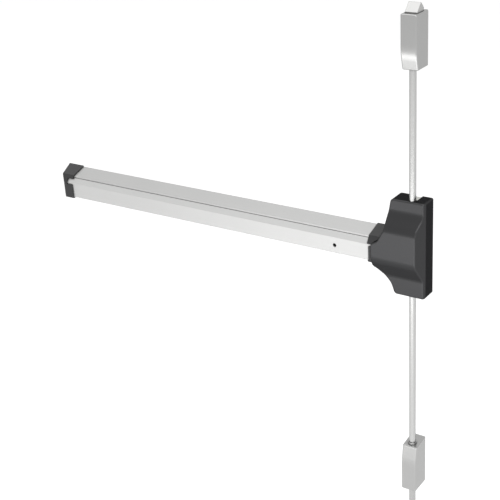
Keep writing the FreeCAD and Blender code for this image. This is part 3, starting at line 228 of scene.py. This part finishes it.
class Effects:
    """The node groups that several finishes share."""

    EDGE_SAMPLES = 4
    # How quickly the edge mask of rubbed wear and painted highlight saturates.
    RUB_AND_HIGHLIGHT_STRENGTH = 9.0
    # Ambient occlusion settings of the painted shade in creases: samples, patch scale and patch
    # swing.
    CREASE_SAMPLES = 8
    CREASE_SCALE = 180.0
    CREASE_SWING = 0.2

    def __init__(self) -> None:
        """Builds every group once."""
        self.lines = self._drawn_lines()
        self.grain = self._fine_grain()
        self.tone = self._uneven_tone()
        self.edge = self._soft_edge()
        self.dust = self._settled_dust()
        # Painted shade in creases, from ambient occlusion.
        self.painted_shade = self._crease_painted_shade()

    @staticmethod
    def _group(name: str, inputs: Dict[str, str], outputs: Dict[str, str]
               ) -> Tuple[NodeSheet, bpy.types.Node, bpy.types.Node]:
        """An empty group with its sockets.

        Args:
            name: the group's name.
            inputs: socket type of each input, by name.
            outputs: socket type of each output, by name.

        Returns:
            The group's sheet, its input node and its output node.
        """
        tree = bpy.data.node_groups.new(name, "ShaderNodeTree")
        for direction, sockets in (("INPUT", inputs), ("OUTPUT", outputs)):
            for label, kind in sockets.items():
                tree.interface.new_socket(name=label, in_out=direction, socket_type=kind)
        sheet = NodeSheet(tree)
        return sheet, sheet.add("NodeGroupInput"), sheet.add("NodeGroupOutput")

    def _drawn_lines(self) -> bpy.types.NodeTree:
        """Fine lines left by drawing or brushing, stretched along one direction.

        Returns:
            The group, with outputs Tone and Height.
        """
        sheet, given, result = self._group(
            "drawn lines", {"Stretch": VECTOR, "Depth": NUMBER}, {"Tone": NUMBER, "Height": NUMBER})
        lines = sheet.noise(1.0, detail=3.0, roughness=0.62, stretch=given.outputs["Stretch"])
        height = sheet.maths("MULTIPLY", lines, given.outputs["Depth"])
        sheet.join(lines, result.inputs["Tone"])
        sheet.join(height, result.inputs["Height"])
        return sheet.tree

    def _fine_grain(self) -> bpy.types.NodeTree:
        """Moulded or sprayed grain, the same in every direction.

        Returns:
            The group, with outputs Mask and Height.
        """
        sheet, given, result = self._group(
            "fine grain", {"Scale": NUMBER, "Depth": NUMBER}, {"Mask": NUMBER, "Height": NUMBER})
        specks = sheet.noise(given.outputs["Scale"], detail=4.0, roughness=0.6)
        place = sheet.add("ShaderNodeTexCoord")
        cell = sheet.add("ShaderNodeTexVoronoi", feature="SMOOTH_F1")
        sheet.join(place.outputs["Object"], cell.inputs["Vector"])
        sheet.join(given.outputs["Scale"], cell.inputs["Scale"])
        grain = sheet.maths("MULTIPLY", specks, cell.outputs["Distance"])
        height = sheet.maths("MULTIPLY", grain, given.outputs["Depth"])
        sheet.join(grain, result.inputs["Mask"])
        sheet.join(height, result.inputs["Height"])
        return sheet.tree

    def _uneven_tone(self) -> bpy.types.NodeTree:
        """Slow change of tone over a surface.

        Returns:
            The group, with the output Value.
        """
        sheet, given, result = self._group(
            "uneven tone", {"Scale": NUMBER, "Low": NUMBER, "High": NUMBER}, {"Value": NUMBER})
        patches = sheet.noise(given.outputs["Scale"], detail=5.0, roughness=0.55)
        tone = sheet.spread(patches, given.outputs["Low"], given.outputs["High"])
        sheet.join(tone, result.inputs["Value"])
        return sheet.tree

    def _soft_edge(self) -> bpy.types.NodeTree:
        """Rounds the shading of sharp edges and marks them for rubbed wear and a painted highlight.

        Returns:
            The group, with outputs Mask and Normal.
        """
        sheet, given, result = self._group(
            "soft edge", {"Radius": NUMBER, "Scale": NUMBER}, {"Mask": NUMBER, "Normal": VECTOR})
        bevel = sheet.add("ShaderNodeBevel", samples=self.EDGE_SAMPLES)
        sheet.join(given.outputs["Radius"], bevel.inputs["Radius"])
        face = sheet.add("ShaderNodeNewGeometry")
        match = sheet.add("ShaderNodeVectorMath", operation="DOT_PRODUCT")
        sheet.join(bevel.outputs["Normal"], match.inputs[0])
        sheet.join(face.outputs["True Normal"], match.inputs[1])
        turned = sheet.maths("SUBTRACT", 1.0, match.outputs["Value"])
        patchy = sheet.maths("MULTIPLY", turned, sheet.noise(given.outputs["Scale"], detail=3.0))
        # Mask of edges lightened partly for rubbed wear, partly as a painted highlight.
        rubbed_and_highlit = sheet.maths("MULTIPLY", patchy, self.RUB_AND_HIGHLIGHT_STRENGTH)
        sheet.join(sheet.maths("MINIMUM", rubbed_and_highlit, 1.0), result.inputs["Mask"])
        sheet.join(bevel.outputs["Normal"], result.inputs["Normal"])
        return sheet.tree

    def _settled_dust(self) -> bpy.types.NodeTree:
        """Dust that settles on faces that look up.

        Returns:
            The group, with the output Mask.
        """
        sheet, given, result = self._group(
            "settled dust", {"Scale": NUMBER, "Amount": NUMBER}, {"Mask": NUMBER})
        face = sheet.add("ShaderNodeNewGeometry")
        split = sheet.add("ShaderNodeSeparateXYZ")
        sheet.join(face.outputs["Normal"], split.inputs[0])
        upward = sheet.maths("MAXIMUM", split.outputs["Z"], 0.0)
        patchy = sheet.maths("MULTIPLY", upward, sheet.noise(given.outputs["Scale"], detail=6.0))
        settled = sheet.maths("MULTIPLY", patchy, given.outputs["Amount"])
        sheet.join(settled, result.inputs["Mask"])
        return sheet.tree

    def _crease_painted_shade(self) -> bpy.types.NodeTree:
        """Painted shade: ambient occlusion darkens gaps and inner corners, in patches.

        Returns:
            The group, with the output Mask.
        """
        sheet, given, result = self._group(
            "crease grime", {"Reach": NUMBER, "Amount": NUMBER}, {"Mask": NUMBER})
        # Ambient occlusion marks where shade falls; it is painted in as near-black colour.
        hollow = sheet.add("ShaderNodeAmbientOcclusion", samples=self.CREASE_SAMPLES)
        sheet.join(given.outputs["Reach"], hollow.inputs["Distance"])
        shut = sheet.maths("SUBTRACT", 1.0, hollow.outputs["AO"])
        patches = sheet.spread(sheet.noise(self.CREASE_SCALE, detail=3.0),
                               1.0 - self.CREASE_SWING, 1.0 + self.CREASE_SWING)
        patchy = sheet.maths("MULTIPLY", shut, patches)
        shade_mask = sheet.maths("MULTIPLY", patchy, given.outputs["Amount"])
        sheet.join(sheet.maths("MINIMUM", shade_mask, 1.0), result.inputs["Mask"])
        return sheet.tree


# ---------------------------------------------------------------- finishes
@dataclass(frozen=True)
class Finish:
    """One surface finish, built as a material on demand.

    A swing is how far a value varies to each side, and a scale how fine a pattern is. The wear
    strength lightens edges, partly as rubbed wear and partly as a painted highlight; dust lays
    dust on top; the crease strength lays painted shade in creases by ambient occlusion, as far
    as the crease reach. rim is what is left of the gloss at grazing angles.
    """

    name: str
    colour: Triple
    worn_and_highlight_colour: Triple
    metallic: float
    roughness: float
    roughness_swing: float = 0.06
    tone_swing: float = 0.04
    tone_scale: float = 9.0
    texture_swing: float = 0.04
    lines_along: Axis = Axis.BAR
    lines_depth: float = 0.0
    scale_along_lines: float = 7.0
    scale_across_lines: float = 1100.0
    grain_scale: float = 1500.0
    grain_depth: float = 0.0
    bump_strength: float = 0.35
    bump_distance: float = 0.1 * MM
    edge_radius: float = 0.5 * MM
    edge_scale: float = 260.0
    wear_and_highlight: float = 0.5
    dust: float = 0.0
    dust_scale: float = 70.0
    painted_shade: float = 0.9
    painted_shade_reach: float = 4.0 * MM
    rim: float = 1.0

    def build(self, effects: Effects) -> bpy.types.Material:
        """Makes the material.

        Args:
            effects: the shared node groups.

        Returns:
            The finished material.
        """
        material = bpy.data.materials.new(self.name)
        material.use_nodes = True
        material.diffuse_color = (*self.colour, 1.0)
        sheet = NodeSheet(material.node_tree)
        shader = material.node_tree.nodes["Principled BSDF"]
        shader.inputs["Metallic"].default_value = self.metallic
        shader.inputs["Specular Tint"].default_value = (self.rim, self.rim, self.rim, 1.0)
        edge = self._place(sheet, effects.edge, Radius=self.edge_radius, Scale=self.edge_scale)
        height, mask = self._texture(sheet, effects)
        colour = self._colour(sheet, effects, edge.outputs["Mask"], mask)
        sheet.join(colour, shader.inputs["Base Color"])
        rough = sheet.spread(mask, self.roughness - self.roughness_swing,
                             self.roughness + self.roughness_swing)
        sheet.join(rough, shader.inputs["Roughness"])
        bump = sheet.add("ShaderNodeBump")
        bump.inputs["Strength"].default_value = self.bump_strength
        bump.inputs["Distance"].default_value = self.bump_distance
        sheet.join(height, bump.inputs["Height"])
        sheet.join(edge.outputs["Normal"], bump.inputs["Normal"])
        sheet.join(bump.outputs["Normal"], shader.inputs["Normal"])
        return material

    @staticmethod
    def _place(sheet: NodeSheet, group: bpy.types.NodeTree, **values: object) -> bpy.types.Node:
        """Places a shared group with this finish's own values.

        Args:
            sheet: the material's sheet.
            group: the shared group.
            **values: the group's inputs, by name.

        Returns:
            The group node.
        """
        node = sheet.add("ShaderNodeGroup", node_tree=group)
        for name, value in values.items():
            node.inputs[name].default_value = value
        return node

    def _texture(self, sheet: NodeSheet, effects: Effects
                 ) -> Tuple[bpy.types.NodeSocket, bpy.types.NodeSocket]:
        """Height and mask of the surface's grain and drawn lines.

        Args:
            sheet: the material's sheet.
            effects: the shared node groups.

        Returns:
            The height socket and the mask socket.
        """
        grain = self._place(sheet, effects.grain, Scale=self.grain_scale, Depth=self.grain_depth)
        if self.lines_depth <= 0:
            return grain.outputs["Height"], grain.outputs["Mask"]
        stretch = tuple(self.scale_along_lines if part else self.scale_across_lines
                        for part in self.lines_along.value)
        lines = self._place(sheet, effects.lines, Stretch=stretch, Depth=self.lines_depth)
        height = sheet.maths("ADD", lines.outputs["Height"], grain.outputs["Height"])
        return height, lines.outputs["Tone"]

    def _colour(self, sheet: NodeSheet, effects: Effects, edge: bpy.types.NodeSocket,
                mask: bpy.types.NodeSocket) -> bpy.types.NodeSocket:
        """Base colour with uneven tone, rubbed wear and painted highlight on edges, dust, and
        painted shade in creases.

        Args:
            sheet: the material's sheet.
            effects: the shared node groups.
            edge: the mask of the edges lightened by rubbed wear and a painted highlight.
            mask: the mask of the surface's texture.

        Returns:
            The colour's socket.
        """
        tone = self._place(sheet, effects.tone, Scale=self.tone_scale,
                           Low=1.0 - self.tone_swing, High=1.0 + self.tone_swing)
        texture = sheet.spread(mask, 1.0 - self.texture_swing, 1.0 + self.texture_swing)
        base = sheet.add("ShaderNodeVectorMath", operation="SCALE")
        base.inputs[0].default_value = self.colour
        sheet.join(sheet.maths("MULTIPLY", tone.outputs["Value"], texture), base.inputs["Scale"])
        # Edges lighten towards the worn colour: partly rubbed wear, partly a painted highlight along
        # edges.
        rubbed_and_highlit = sheet.maths("MULTIPLY", edge, self.wear_and_highlight)
        colour = sheet.lay(rubbed_and_highlit, base.outputs[0], (*self.worn_and_highlight_colour, 1.0))
        if self.dust > 0:
            settled = self._place(sheet, effects.dust, Scale=self.dust_scale, Amount=self.dust)
            colour = sheet.lay(settled.outputs["Mask"], colour, DUST_COLOUR)
        # Painted shade: ambient occlusion darkens gaps and inner corners towards near black.
        shade_mask = self._place(sheet, effects.painted_shade, Reach=self.painted_shade_reach, Amount=self.painted_shade)
        return sheet.lay(shade_mask.outputs["Mask"], colour, PAINTED_SHADE_COLOUR)


RAIL_ALUMINIUM = Finish(
    name="satin aluminium rail", colour=(0.52, 0.52, 0.515), worn_and_highlight_colour=(0.78, 0.78, 0.78),
    metallic=0.8, roughness=0.44, lines_along=Axis.BAR, lines_depth=0.5, edge_radius=0.9 * MM,
    wear_and_highlight=0.6, tone_swing=0.03, rim=0.8)
PAD_ALUMINIUM = Finish(
    name="satin aluminium pad", colour=(0.57, 0.57, 0.565), worn_and_highlight_colour=(0.82, 0.82, 0.82),
    metallic=0.7, roughness=0.45, lines_along=Axis.BAR, lines_depth=0.5, edge_radius=1.1 * MM,
    wear_and_highlight=0.8, tone_swing=0.03)
TRIM_PLASTIC = Finish(
    name="black moulded trim", colour=(0.012, 0.012, 0.013), worn_and_highlight_colour=(0.06, 0.06, 0.063),
    metallic=0.0, roughness=0.42, grain_scale=1400.0, grain_depth=1.0, wear_and_highlight=0.5, dust=0.03)
# The lighter edges of the head paint a highlight line along the ridge, as well as wear.
HEAD_PAINT = Finish(
    name="dark metallic head paint", colour=(0.05, 0.05, 0.0515), worn_and_highlight_colour=(0.22, 0.22, 0.225),
    metallic=0.95, roughness=0.31, roughness_swing=0.03, grain_scale=2600.0, grain_depth=0.2,
    edge_radius=1.8 * MM, wear_and_highlight=0.7, tone_swing=0.03, rim=0.3)
LATCH_PAINT = Finish(
    name="silver latch paint", colour=(0.4, 0.4, 0.396), worn_and_highlight_colour=(0.8, 0.8, 0.79),
    metallic=0.95, roughness=0.24, roughness_swing=0.03, grain_scale=2400.0, grain_depth=0.12,
    edge_radius=0.9 * MM, wear_and_highlight=0.6, tone_swing=0.03, rim=0.8)
ROD_STEEL = Finish(
    name="drawn rod steel", colour=(0.48, 0.48, 0.475), worn_and_highlight_colour=(0.78, 0.78, 0.77),
    metallic=0.85, roughness=0.26, lines_along=Axis.ROD, lines_depth=0.45, wear_and_highlight=0.3, rim=0.5)
BOLT_STEEL = Finish(
    name="machined bolt steel", colour=(0.42, 0.42, 0.415), worn_and_highlight_colour=(0.7, 0.7, 0.69),
    metallic=1.0, roughness=0.32, lines_along=Axis.DOOR, lines_depth=0.4, wear_and_highlight=0.6)
ZINC_STEEL = Finish(
    name="zinc plated steel", colour=(0.5, 0.5, 0.47), worn_and_highlight_colour=(0.66, 0.66, 0.64),
    metallic=1.0, roughness=0.38, grain_scale=420.0, grain_depth=0.25, tone_swing=0.12,
    tone_scale=40.0)
SCREW_STEEL = Finish(
    name="dull screw steel", colour=(0.3, 0.3, 0.31), worn_and_highlight_colour=(0.55, 0.55, 0.55),
    metallic=1.0, roughness=0.35, grain_scale=1800.0, grain_depth=0.2, edge_radius=0.25 * MM,
    wear_and_highlight=0.7)
RING_STEEL = Finish(
    name="turned ring steel", colour=(0.42, 0.42, 0.42), worn_and_highlight_colour=(0.7, 0.7, 0.69),
    metallic=1.0, roughness=0.3, lines_along=Axis.DOOR, lines_depth=0.3, edge_radius=0.3 * MM,
    wear_and_highlight=0.6)
BLACK_SCREW = Finish(
    name="blackened screw steel", colour=(0.03, 0.03, 0.032), worn_and_highlight_colour=(0.14, 0.14, 0.14),
    metallic=0.9, roughness=0.4, grain_scale=1800.0, grain_depth=0.2, edge_radius=0.25 * MM,
    wear_and_highlight=0.3)
SPRING_STEEL = Finish(
    name="spring wire", colour=(0.34, 0.34, 0.35), worn_and_highlight_colour=(0.5, 0.5, 0.5), metallic=1.0,
    roughness=0.3, grain_scale=2500.0, grain_depth=0.15)
NYLON = Finish(
    name="nylon bushing", colour=(0.72, 0.71, 0.66), worn_and_highlight_colour=(0.8, 0.79, 0.75), metallic=0.0,
    roughness=0.42, grain_scale=1600.0, grain_depth=0.4)


# ---------------------------------------------------------------- meshes
class MeshMaker:
    """Builds meshes from plain lists of points and faces."""

    # No wire runs along this direction, so each ring's corners can be set out from it.
    OFF_AXIS = Vector((0.31, 0.17, 0.93))

    @staticmethod
    def piece(name: str, points: Sequence[Vector], faces: Sequence[Sequence[int]],
              material: bpy.types.Material, smooth: bool = True) -> bpy.types.Object:
        """An object from points and faces.

        Args:
            name: the piece's name.
            points: its vertices, in the row frame.
            faces: its faces, as lists of vertex numbers.
            material: its finish.
            smooth: whether its faces are shaded smooth.

        Returns:
            The object, linked to the scene.
        """
        mesh = bpy.data.meshes.new(name)
        mesh.from_pydata([tuple(point) for point in points], [],
                         [tuple(face) for face in faces])
        mesh.update()
        mesh.materials.append(material)
        for polygon in mesh.polygons:
            polygon.use_smooth = smooth
        piece = bpy.data.objects.new(name, mesh)
        bpy.context.scene.collection.objects.link(piece)
        return piece

    @staticmethod
    def tube(path: Callable[[float], Vector], count: int, radius: float,
             sides: int) -> Tuple[List[Vector], List[List[int]]]:
        """A round tube along a path, closed at both ends.

        Args:
            path: the point on the path at 0..1.
            count: how many rings to set.
            radius: the tube's radius.
            sides: corners of each ring.

        Returns:
            The points and the faces.
        """
        rings: List[List[Vector]] = []
        step = 1.0 / (count - 1)
        for index in range(count):
            share = index * step
            ahead = path(min(1.0, share + step / 2.0)) - path(max(0.0, share - step / 2.0))
            ahead.normalize()
            side = ahead.cross(MeshMaker.OFF_AXIS).normalized()
            over = ahead.cross(side)
            rings.append([path(share) + direction * radius
                          for direction in MeshMaker.round_about(side, over, sides)])
        return MeshMaker.skin(rings)

    @staticmethod
    def round_about(side: Vector, over: Vector, count: int) -> List[Vector]:
        """Directions set evenly round an axis.

        Args:
            side: the first direction.
            over: the direction a quarter turn on.
            count: how many directions.

        Returns:
            The directions, of unit length.
        """
        angles = [2.0 * math.pi * index / count for index in range(count)]
        return [side * math.cos(angle) + over * math.sin(angle) for angle in angles]

    @staticmethod
    def skin(rings: Sequence[Sequence[Vector]]) -> Tuple[List[Vector], List[List[int]]]:
        """A closed skin over rings of equally many points, with a flat face at both ends.

        Args:
            rings: the rings, in order.

        Returns:
            The points and the faces.
        """
        sides = len(rings[0])
        points = [point for ring in rings for point in ring]
        faces = []
        for low in range(0, len(points) - sides, sides):
            for corner in range(sides):
                following = (corner + 1) % sides
                faces.append([low + corner, low + following,
                              low + sides + following, low + sides + corner])
        faces.append(list(range(sides))[::-1])
        faces.append(list(range(len(points) - sides, len(points))))
        return points, faces


# ---------------------------------------------------------------- sub-assemblies
@dataclass
class Dressing:
    """A group of CAD nodes that keep their shape and get their finishes."""

    name: str
    finishes: Dict[Finish, Tuple[str, ...]]

    def build(self, frame: dict, finished: "FinishShelf") -> None:
        """Gives each node its finish.

        Args:
            frame: the loaded frame.
            finished: where the materials are kept.
        """
        for finish, nodes in self.finishes.items():
            material = finished.get(finish)
            for node in nodes:
                mesh = frame["nodes"][node].data
                mesh.materials.clear()
                mesh.materials.append(material)
        LOG.info("%s dressed", self.name)


class FinishShelf:
    """Keeps one material for each finish."""

    def __init__(self, effects: Effects) -> None:
        """Starts empty.

        Args:
            effects: the shared node groups.
        """
        self.effects = effects
        self.made: Dict[Finish, bpy.types.Material] = {}

    def get(self, finish: Finish) -> bpy.types.Material:
        """The material of a finish, made at first use.

        Args:
            finish: the finish.

        Returns:
            Its material.
        """
        if finish not in self.made:
            self.made[finish] = finish.build(self.effects)
        return self.made[finish]


@dataclass
class CoilSpring:
    """A compression spring of round wire in place of a CAD spring."""

    name: str
    node: str
    axis: Axis
    joint: str
    keep: float
    coil_radius: float
    wire_radius: float
    turns: float = 7.0
    rings_per_turn: int = 28
    sides: int = 10

    def build(self, finished: FinishShelf) -> None:
        """Winds the spring between the ends of its CAD node.

        Args:
            finished: where the materials are kept.
        """
        low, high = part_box(self.node)
        along = self.axis.vector()
        centre = (low + high) / 2.0
        start = low.dot(along) + self.wire_radius
        run = high.dot(along) - self.wire_radius - start
        flat = centre - along * centre.dot(along)
        side = along.orthogonal().normalized()
        over = along.cross(side)

        def path(share: float) -> Vector:
            """Point on the wire's centre line.

            Args:
                share: how far along the wire, 0..1.

            Returns:
                The point, in the row frame.
            """
            angle = 2.0 * math.pi * self.turns * share
            around = side * math.cos(angle) + over * math.sin(angle)
            return flat + along * (start + run * share) + around * self.coil_radius

        count = int(self.turns * self.rings_per_turn) + 1
        points, faces = MeshMaker.tube(path, count, self.wire_radius, self.sides)
        piece = MeshMaker.piece(self.name, points, faces, finished.get(SPRING_STEEL))
        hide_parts(self.node)
        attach(piece, "body")
        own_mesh(piece)
        LOG.info("%s wound", self.name)


@dataclass
class ButtonScrews:
    """The screws of one CAD node, with domed heads and hexagon sockets.

    dome holds the dome's outline from its rim to its flat top: at each point the share of the
    head's radius, and how far down from the top it lies as a share of the head's height.
    """

    name: str
    node: str
    inward: Axis
    head_radius: float = 3.6 * MM
    head_height: float = 2.0 * MM
    shank_radius: float = 2.0 * MM
    socket_flats: float = 2.5 * MM
    socket_depth: float = 1.2 * MM
    dome: Tuple[Tuple[float, float], ...] = (
        (1.0, 0.55), (0.95, 0.32), (0.82, 0.13), (0.64, 0.02), (0.56, 0.0))
    sides: int = 24
    sharp_angle: float = math.radians(40.0)

    def build(self, frame: dict, finished: FinishShelf) -> None:
        """Makes the screws where the CAD node has them, as one piece.

        Args:
            frame: the loaded frame.
            finished: where the materials are kept.
        """
        points: List[Vector] = []
        faces: List[List[int]] = []
        for low, high in self._places(frame["nodes"][self.node].data):
            screw_points, screw_faces = MeshMaker.skin(self._rings(low, high))
            faces += [[corner + len(points) for corner in face] for face in screw_faces]
            points += screw_points
        piece = MeshMaker.piece(self.name, points, faces, finished.get(SCREW_STEEL))
        piece.data.set_sharp_from_angle(angle=self.sharp_angle)
        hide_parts(self.node)
        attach(piece, "body")
        LOG.info("%s made", self.name)

    def _places(self, mesh: bpy.types.Mesh) -> List[Tuple[Vector, Vector]]:
        """Box of each screw in the CAD node, which holds them side by side.

        Args:
            mesh: the CAD node's mesh.

        Returns:
            The lowest and highest corner of each screw.
        """
        corners = [vertex.co.copy() for vertex in mesh.vertices]
        spans = [max(values) - min(values) for values in zip(*corners)]
        across = max((index for index in range(3) if not self.inward.value[index]),
                     key=lambda index: spans[index])
        corners.sort(key=lambda corner: corner[across])
        gap = 2.0 * self.head_radius
        groups = [[corners[0]]]
        for last, corner in zip(corners, corners[1:]):
            if corner[across] - last[across] > gap:
                groups.append([])
            groups[-1].append(corner)
        return [(Vector(map(min, zip(*group))), Vector(map(max, zip(*group))))
                for group in groups]

    def _rings(self, low: Vector, high: Vector) -> List[List[Vector]]:
        """Rings from the shank's end over the head and down into the socket.

        Args:
            low: the screw's lowest corner.
            high: its highest corner.

        Returns:
            The rings, as points in the row frame.
        """
        along = self.inward.vector()
        centre = (low + high) / 2.0
        top = centre + along * (low - centre).dot(along)
        length = (high - low).dot(along)
        side = along.orthogonal().normalized()
        over = side.cross(along)
        directions = MeshMaker.round_about(side, over, self.sides)
        outline = [(self.shank_radius, length), (self.shank_radius, self.head_height),
                   (self.head_radius, self.head_height)]
        outline += [(self.head_radius * reach, self.head_height * drop)
                    for reach, drop in self.dome]
        rings = [[top + along * depth + direction * radius for direction in directions]
                 for radius, depth in outline]
        reaches = [self._socket_reach(index) for index in range(self.sides)]
        rings += [[top + along * depth + direction * reach
                   for direction, reach in zip(directions, reaches)]
                  for depth in (0.0, self.socket_depth)]
        return rings

    def _socket_reach(self, index: int) -> float:
        """How far the socket's wall lies from its axis in one of the rings' directions.

        Args:
            index: the direction's number.

        Returns:
            The distance in metres.
        """
        sixth = math.radians(60.0)
        angle = 2.0 * math.pi * index / self.sides
        return self.socket_flats / 2.0 / math.cos(angle % sixth - sixth / 2.0)


@dataclass(frozen=True)
class Lamp:
    """A soft lamp with a rectangular face, which the camera doesn't see."""

    name: str
    place: Triple
    sides: Tuple[float, float]
    watts: float

    def build(self, target: Triple) -> None:
        """Makes the lamp and turns it to a point.

        Args:
            target: the point that it faces.
        """
        data = bpy.data.lights.new(self.name, "AREA")
        data.shape = "RECTANGLE"
        data.size, data.size_y = self.sides
        data.energy = self.watts
        lamp = bpy.data.objects.new(self.name, data)
        lamp.visible_camera = False
        turn = (Vector(target) - Vector(self.place)).to_track_quat("-Z", "Y")
        lamp.matrix_world = Matrix.Translation(self.place) @ turn.to_matrix().to_4x4()
        bpy.context.scene.collection.objects.link(lamp)


@dataclass
class Studio:
    """Pale floor, soft lights and the camera of the photograph, with its angles in degrees."""

    camera_place: Triple = (0.7955, -1.6335, 0.8181)
    azimuth: float = 35.35
    elevation: float = 24.28
    roll: float = -3.66
    lens_mm: float = 81.0
    sensor_mm: float = 36.0
    nearest: float = 0.01
    farthest: float = 60.0
    floor_height: float = -0.76
    floor_half: float = 9.0
    floor_colour: Colour = (0.86, 0.86, 0.86, 1.0)
    floor_roughness: float = 0.9
    floor_gloss: float = 0.1
    floor_glow: float = 0.47
    room_light: float = 0.6
    lamp_target: Triple = (-0.15, 0.0, 0.0)
    lamps: Tuple[Lamp, ...] = (
        Lamp("key light", (1.6, -2.3, 1.6), (2.0, 2.0), 31.0),
        Lamp("low light", (-0.05, -1.25, -0.58), (2.4, 0.27), 4.6),
        Lamp("top light", (-0.4, -0.3, 2.6), (2.2, 2.2), 20.0),
        Lamp("right light", (2.3, -1.3, 0.9), (1.6, 1.6), 8.0))

    def build(self) -> None:
        """Makes camera, floor, world and lamps."""
        self._camera()
        self._floor()
        self._world()
        for lamp in self.lamps:
            lamp.build(self.lamp_target)
        LOG.info("studio ready")

    def _camera(self) -> None:
        """Camera at the photograph's place and angle."""
        turn, rise, tip = map(math.radians, (self.azimuth, self.elevation, self.roll))
        back = Vector((math.sin(turn) * math.cos(rise), -math.cos(turn) * math.cos(rise),
                       math.sin(rise)))
        right = (-back).cross(Vector((0.0, 0.0, 1.0))).normalized()
        above = right.cross(-back)
        across = right * math.cos(tip) + above * math.sin(tip)
        upward = above * math.cos(tip) - right * math.sin(tip)
        data = bpy.data.cameras.new("camera")
        data.lens = self.lens_mm
        data.sensor_width = self.sensor_mm
        data.clip_start = self.nearest
        data.clip_end = self.farthest
        camera = bpy.data.objects.new("camera", data)
        rotation = Matrix((across, upward, back)).transposed().to_4x4()
        camera.matrix_world = Matrix.Translation(self.camera_place) @ rotation
        bpy.context.scene.collection.objects.link(camera)
        bpy.context.scene.camera = camera

    def _floor(self) -> None:
        """Plain pale floor that looks white to camera, gloss and glass."""
        material = bpy.data.materials.new("pale floor")
        material.use_nodes = True
        sheet = NodeSheet(material.node_tree)
        shader = material.node_tree.nodes["Principled BSDF"]
        shader.inputs["Base Color"].default_value = self.floor_colour
        shader.inputs["Roughness"].default_value = self.floor_roughness
        shader.inputs["Specular IOR Level"].default_value = self.floor_gloss
        shader.inputs["Emission Color"].default_value = WHITE
        glow = sheet.maths("MULTIPLY", self._background_rays(sheet), self.floor_glow)
        sheet.join(glow, shader.inputs["Emission Strength"])
        half = self.floor_half
        corners = [Vector((x, y, self.floor_height))
                   for x, y in ((-half, -half), (half, -half), (half, half), (-half, half))]
        floor = MeshMaker.piece("floor", corners, [[0, 1, 2, 3]], material, smooth=False)

    def _world(self) -> None:
        """White backdrop to camera, gloss and glass, and an even room light on the object."""
        world = bpy.data.worlds.new("studio")
        world.use_nodes = True
        world.node_tree.nodes.clear()
        bpy.context.scene.world = world
        sheet = NodeSheet(world.node_tree)
        room = sheet.add("ShaderNodeBackground")
        room.inputs["Color"].default_value = (*[self.room_light] * 3, 1.0)
        backdrop = sheet.add("ShaderNodeBackground")
        backdrop.inputs["Color"].default_value = WHITE
        mix = sheet.add("ShaderNodeMixShader")
        sheet.join(self._background_rays(sheet), mix.inputs["Fac"])
        sheet.join(room.outputs[0], mix.inputs[1])
        sheet.join(backdrop.outputs[0], mix.inputs[2])
        result = sheet.add("ShaderNodeOutputWorld")
        sheet.join(mix.outputs[0], result.inputs["Surface"])

    @staticmethod
    def _background_rays(sheet: NodeSheet) -> bpy.types.NodeSocket:
        """Which rays show the white background: those of camera, gloss and glass.

        Args:
            sheet: the sheet of the floor or the world.

        Returns:
            The socket, 1 for those rays and 0 for the rest.
        """
        path = sheet.add("ShaderNodeLightPath")
        seen = sheet.maths("MAXIMUM", path.outputs["Is Camera Ray"],
                           path.outputs["Is Transmission Ray"])
        return sheet.maths("MAXIMUM", seen, path.outputs["Is Glossy Ray"])


def dressings() -> List[Dressing]:
    """The groups of CAD nodes with their finishes.

    Returns:
        One dressing for each sub-assembly.
    """
    return [
        Dressing("bar", {
            RAIL_ALUMINIUM: ("rail",),
            PAD_ALUMINIUM: ("push_pad",),
            TRIM_PLASTIC: ("end_cap", "collar"),
            BLACK_SCREW: ("dogging_screw",),
            ZINC_STEEL: ("end_bracket", "outer_pad_bracket", "inner_pad_bracket",
                         "outer_bell_crank", "inner_bell_crank", "outer_pad_pin",
                         "inner_pad_pin", "outer_crank_base", "inner_crank_base",
                         "crank_pivot_pins", "drive_strip", "drive_slide", "slide_rivets",
                         "spring_anchor", "rail_rivets", "dogging_holder", "dogging_keeper"),
        }),
        Dressing("head", {
            HEAD_PAINT: ("head_cover",),
            SCREW_STEEL: ("lug_screws",),
            ZINC_STEEL: ("chassis", "lever_pivots", "upper_lever", "lower_lever", "upper_input_pin",
                         "lower_input_pin", "upper_lift_pin", "lower_lift_pin", "top_connector",
                         "bottom_connector", "top_lock_nut", "bottom_lock_nut"),
            NYLON: ("top_guide_bushing", "bottom_guide_bushing"),
        }),
        Dressing("rods and latches", {
            ROD_STEEL: ("top_rod", "bottom_rod"),
            BOLT_STEEL: ("top_bolt", "top_bolt_pin", "bottom_bolt"),
            LATCH_PAINT: ("top_latch_case", "bottom_latch_case"),
            ZINC_STEEL: ("top_latch_base", "bottom_latch_base", "rod_coupling"),
            RING_STEEL: ("case_ring",),
        }),
    ]


def springs() -> List[CoilSpring]:
    """The two springs that shorten as the pad goes in.

    Returns:
        The return spring in the bar and the bolt spring in the top latch.
    """
    return [
        CoilSpring("return_coil", "return_spring", Axis.BAR, joint="drive_travel", keep=0.8,
                   coil_radius=4.6 * MM, wire_radius=0.6 * MM),
        CoilSpring("bolt_coil", "top_bolt_spring", Axis.ROD, joint="top_bolt_slide", keep=0.73,
                   coil_radius=7.6 * MM, wire_radius=0.8 * MM),
    ]


def screws() -> List[ButtonScrews]:
    """The screws whose heads show on the outside.

    Returns:
        The screws of the end cap, the head cover and the latch cases.
    """
    return [
        ButtonScrews("end_cap_button", "end_cap_screw", Axis.BAR),
        ButtonScrews("cover_buttons", "cover_screws", Axis.ROD),
        ButtonScrews("case_buttons", "case_screws", Axis.BAR),
    ]


def main() -> None:
    """Builds the scene around the frame, in order."""
    logging.basicConfig(level=logging.INFO, format="%(name)s: %(message)s")
    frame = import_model()
    finished = FinishShelf(Effects())
    for dressing in dressings():
        dressing.build(frame, finished)
    for spring in springs():
        spring.build(finished)
    for screw in screws():
        screw.build(frame, finished)
    Studio().build()
    bpy.context.scene.view_settings.view_transform = "Standard"


if __name__ == "__main__":
    main()
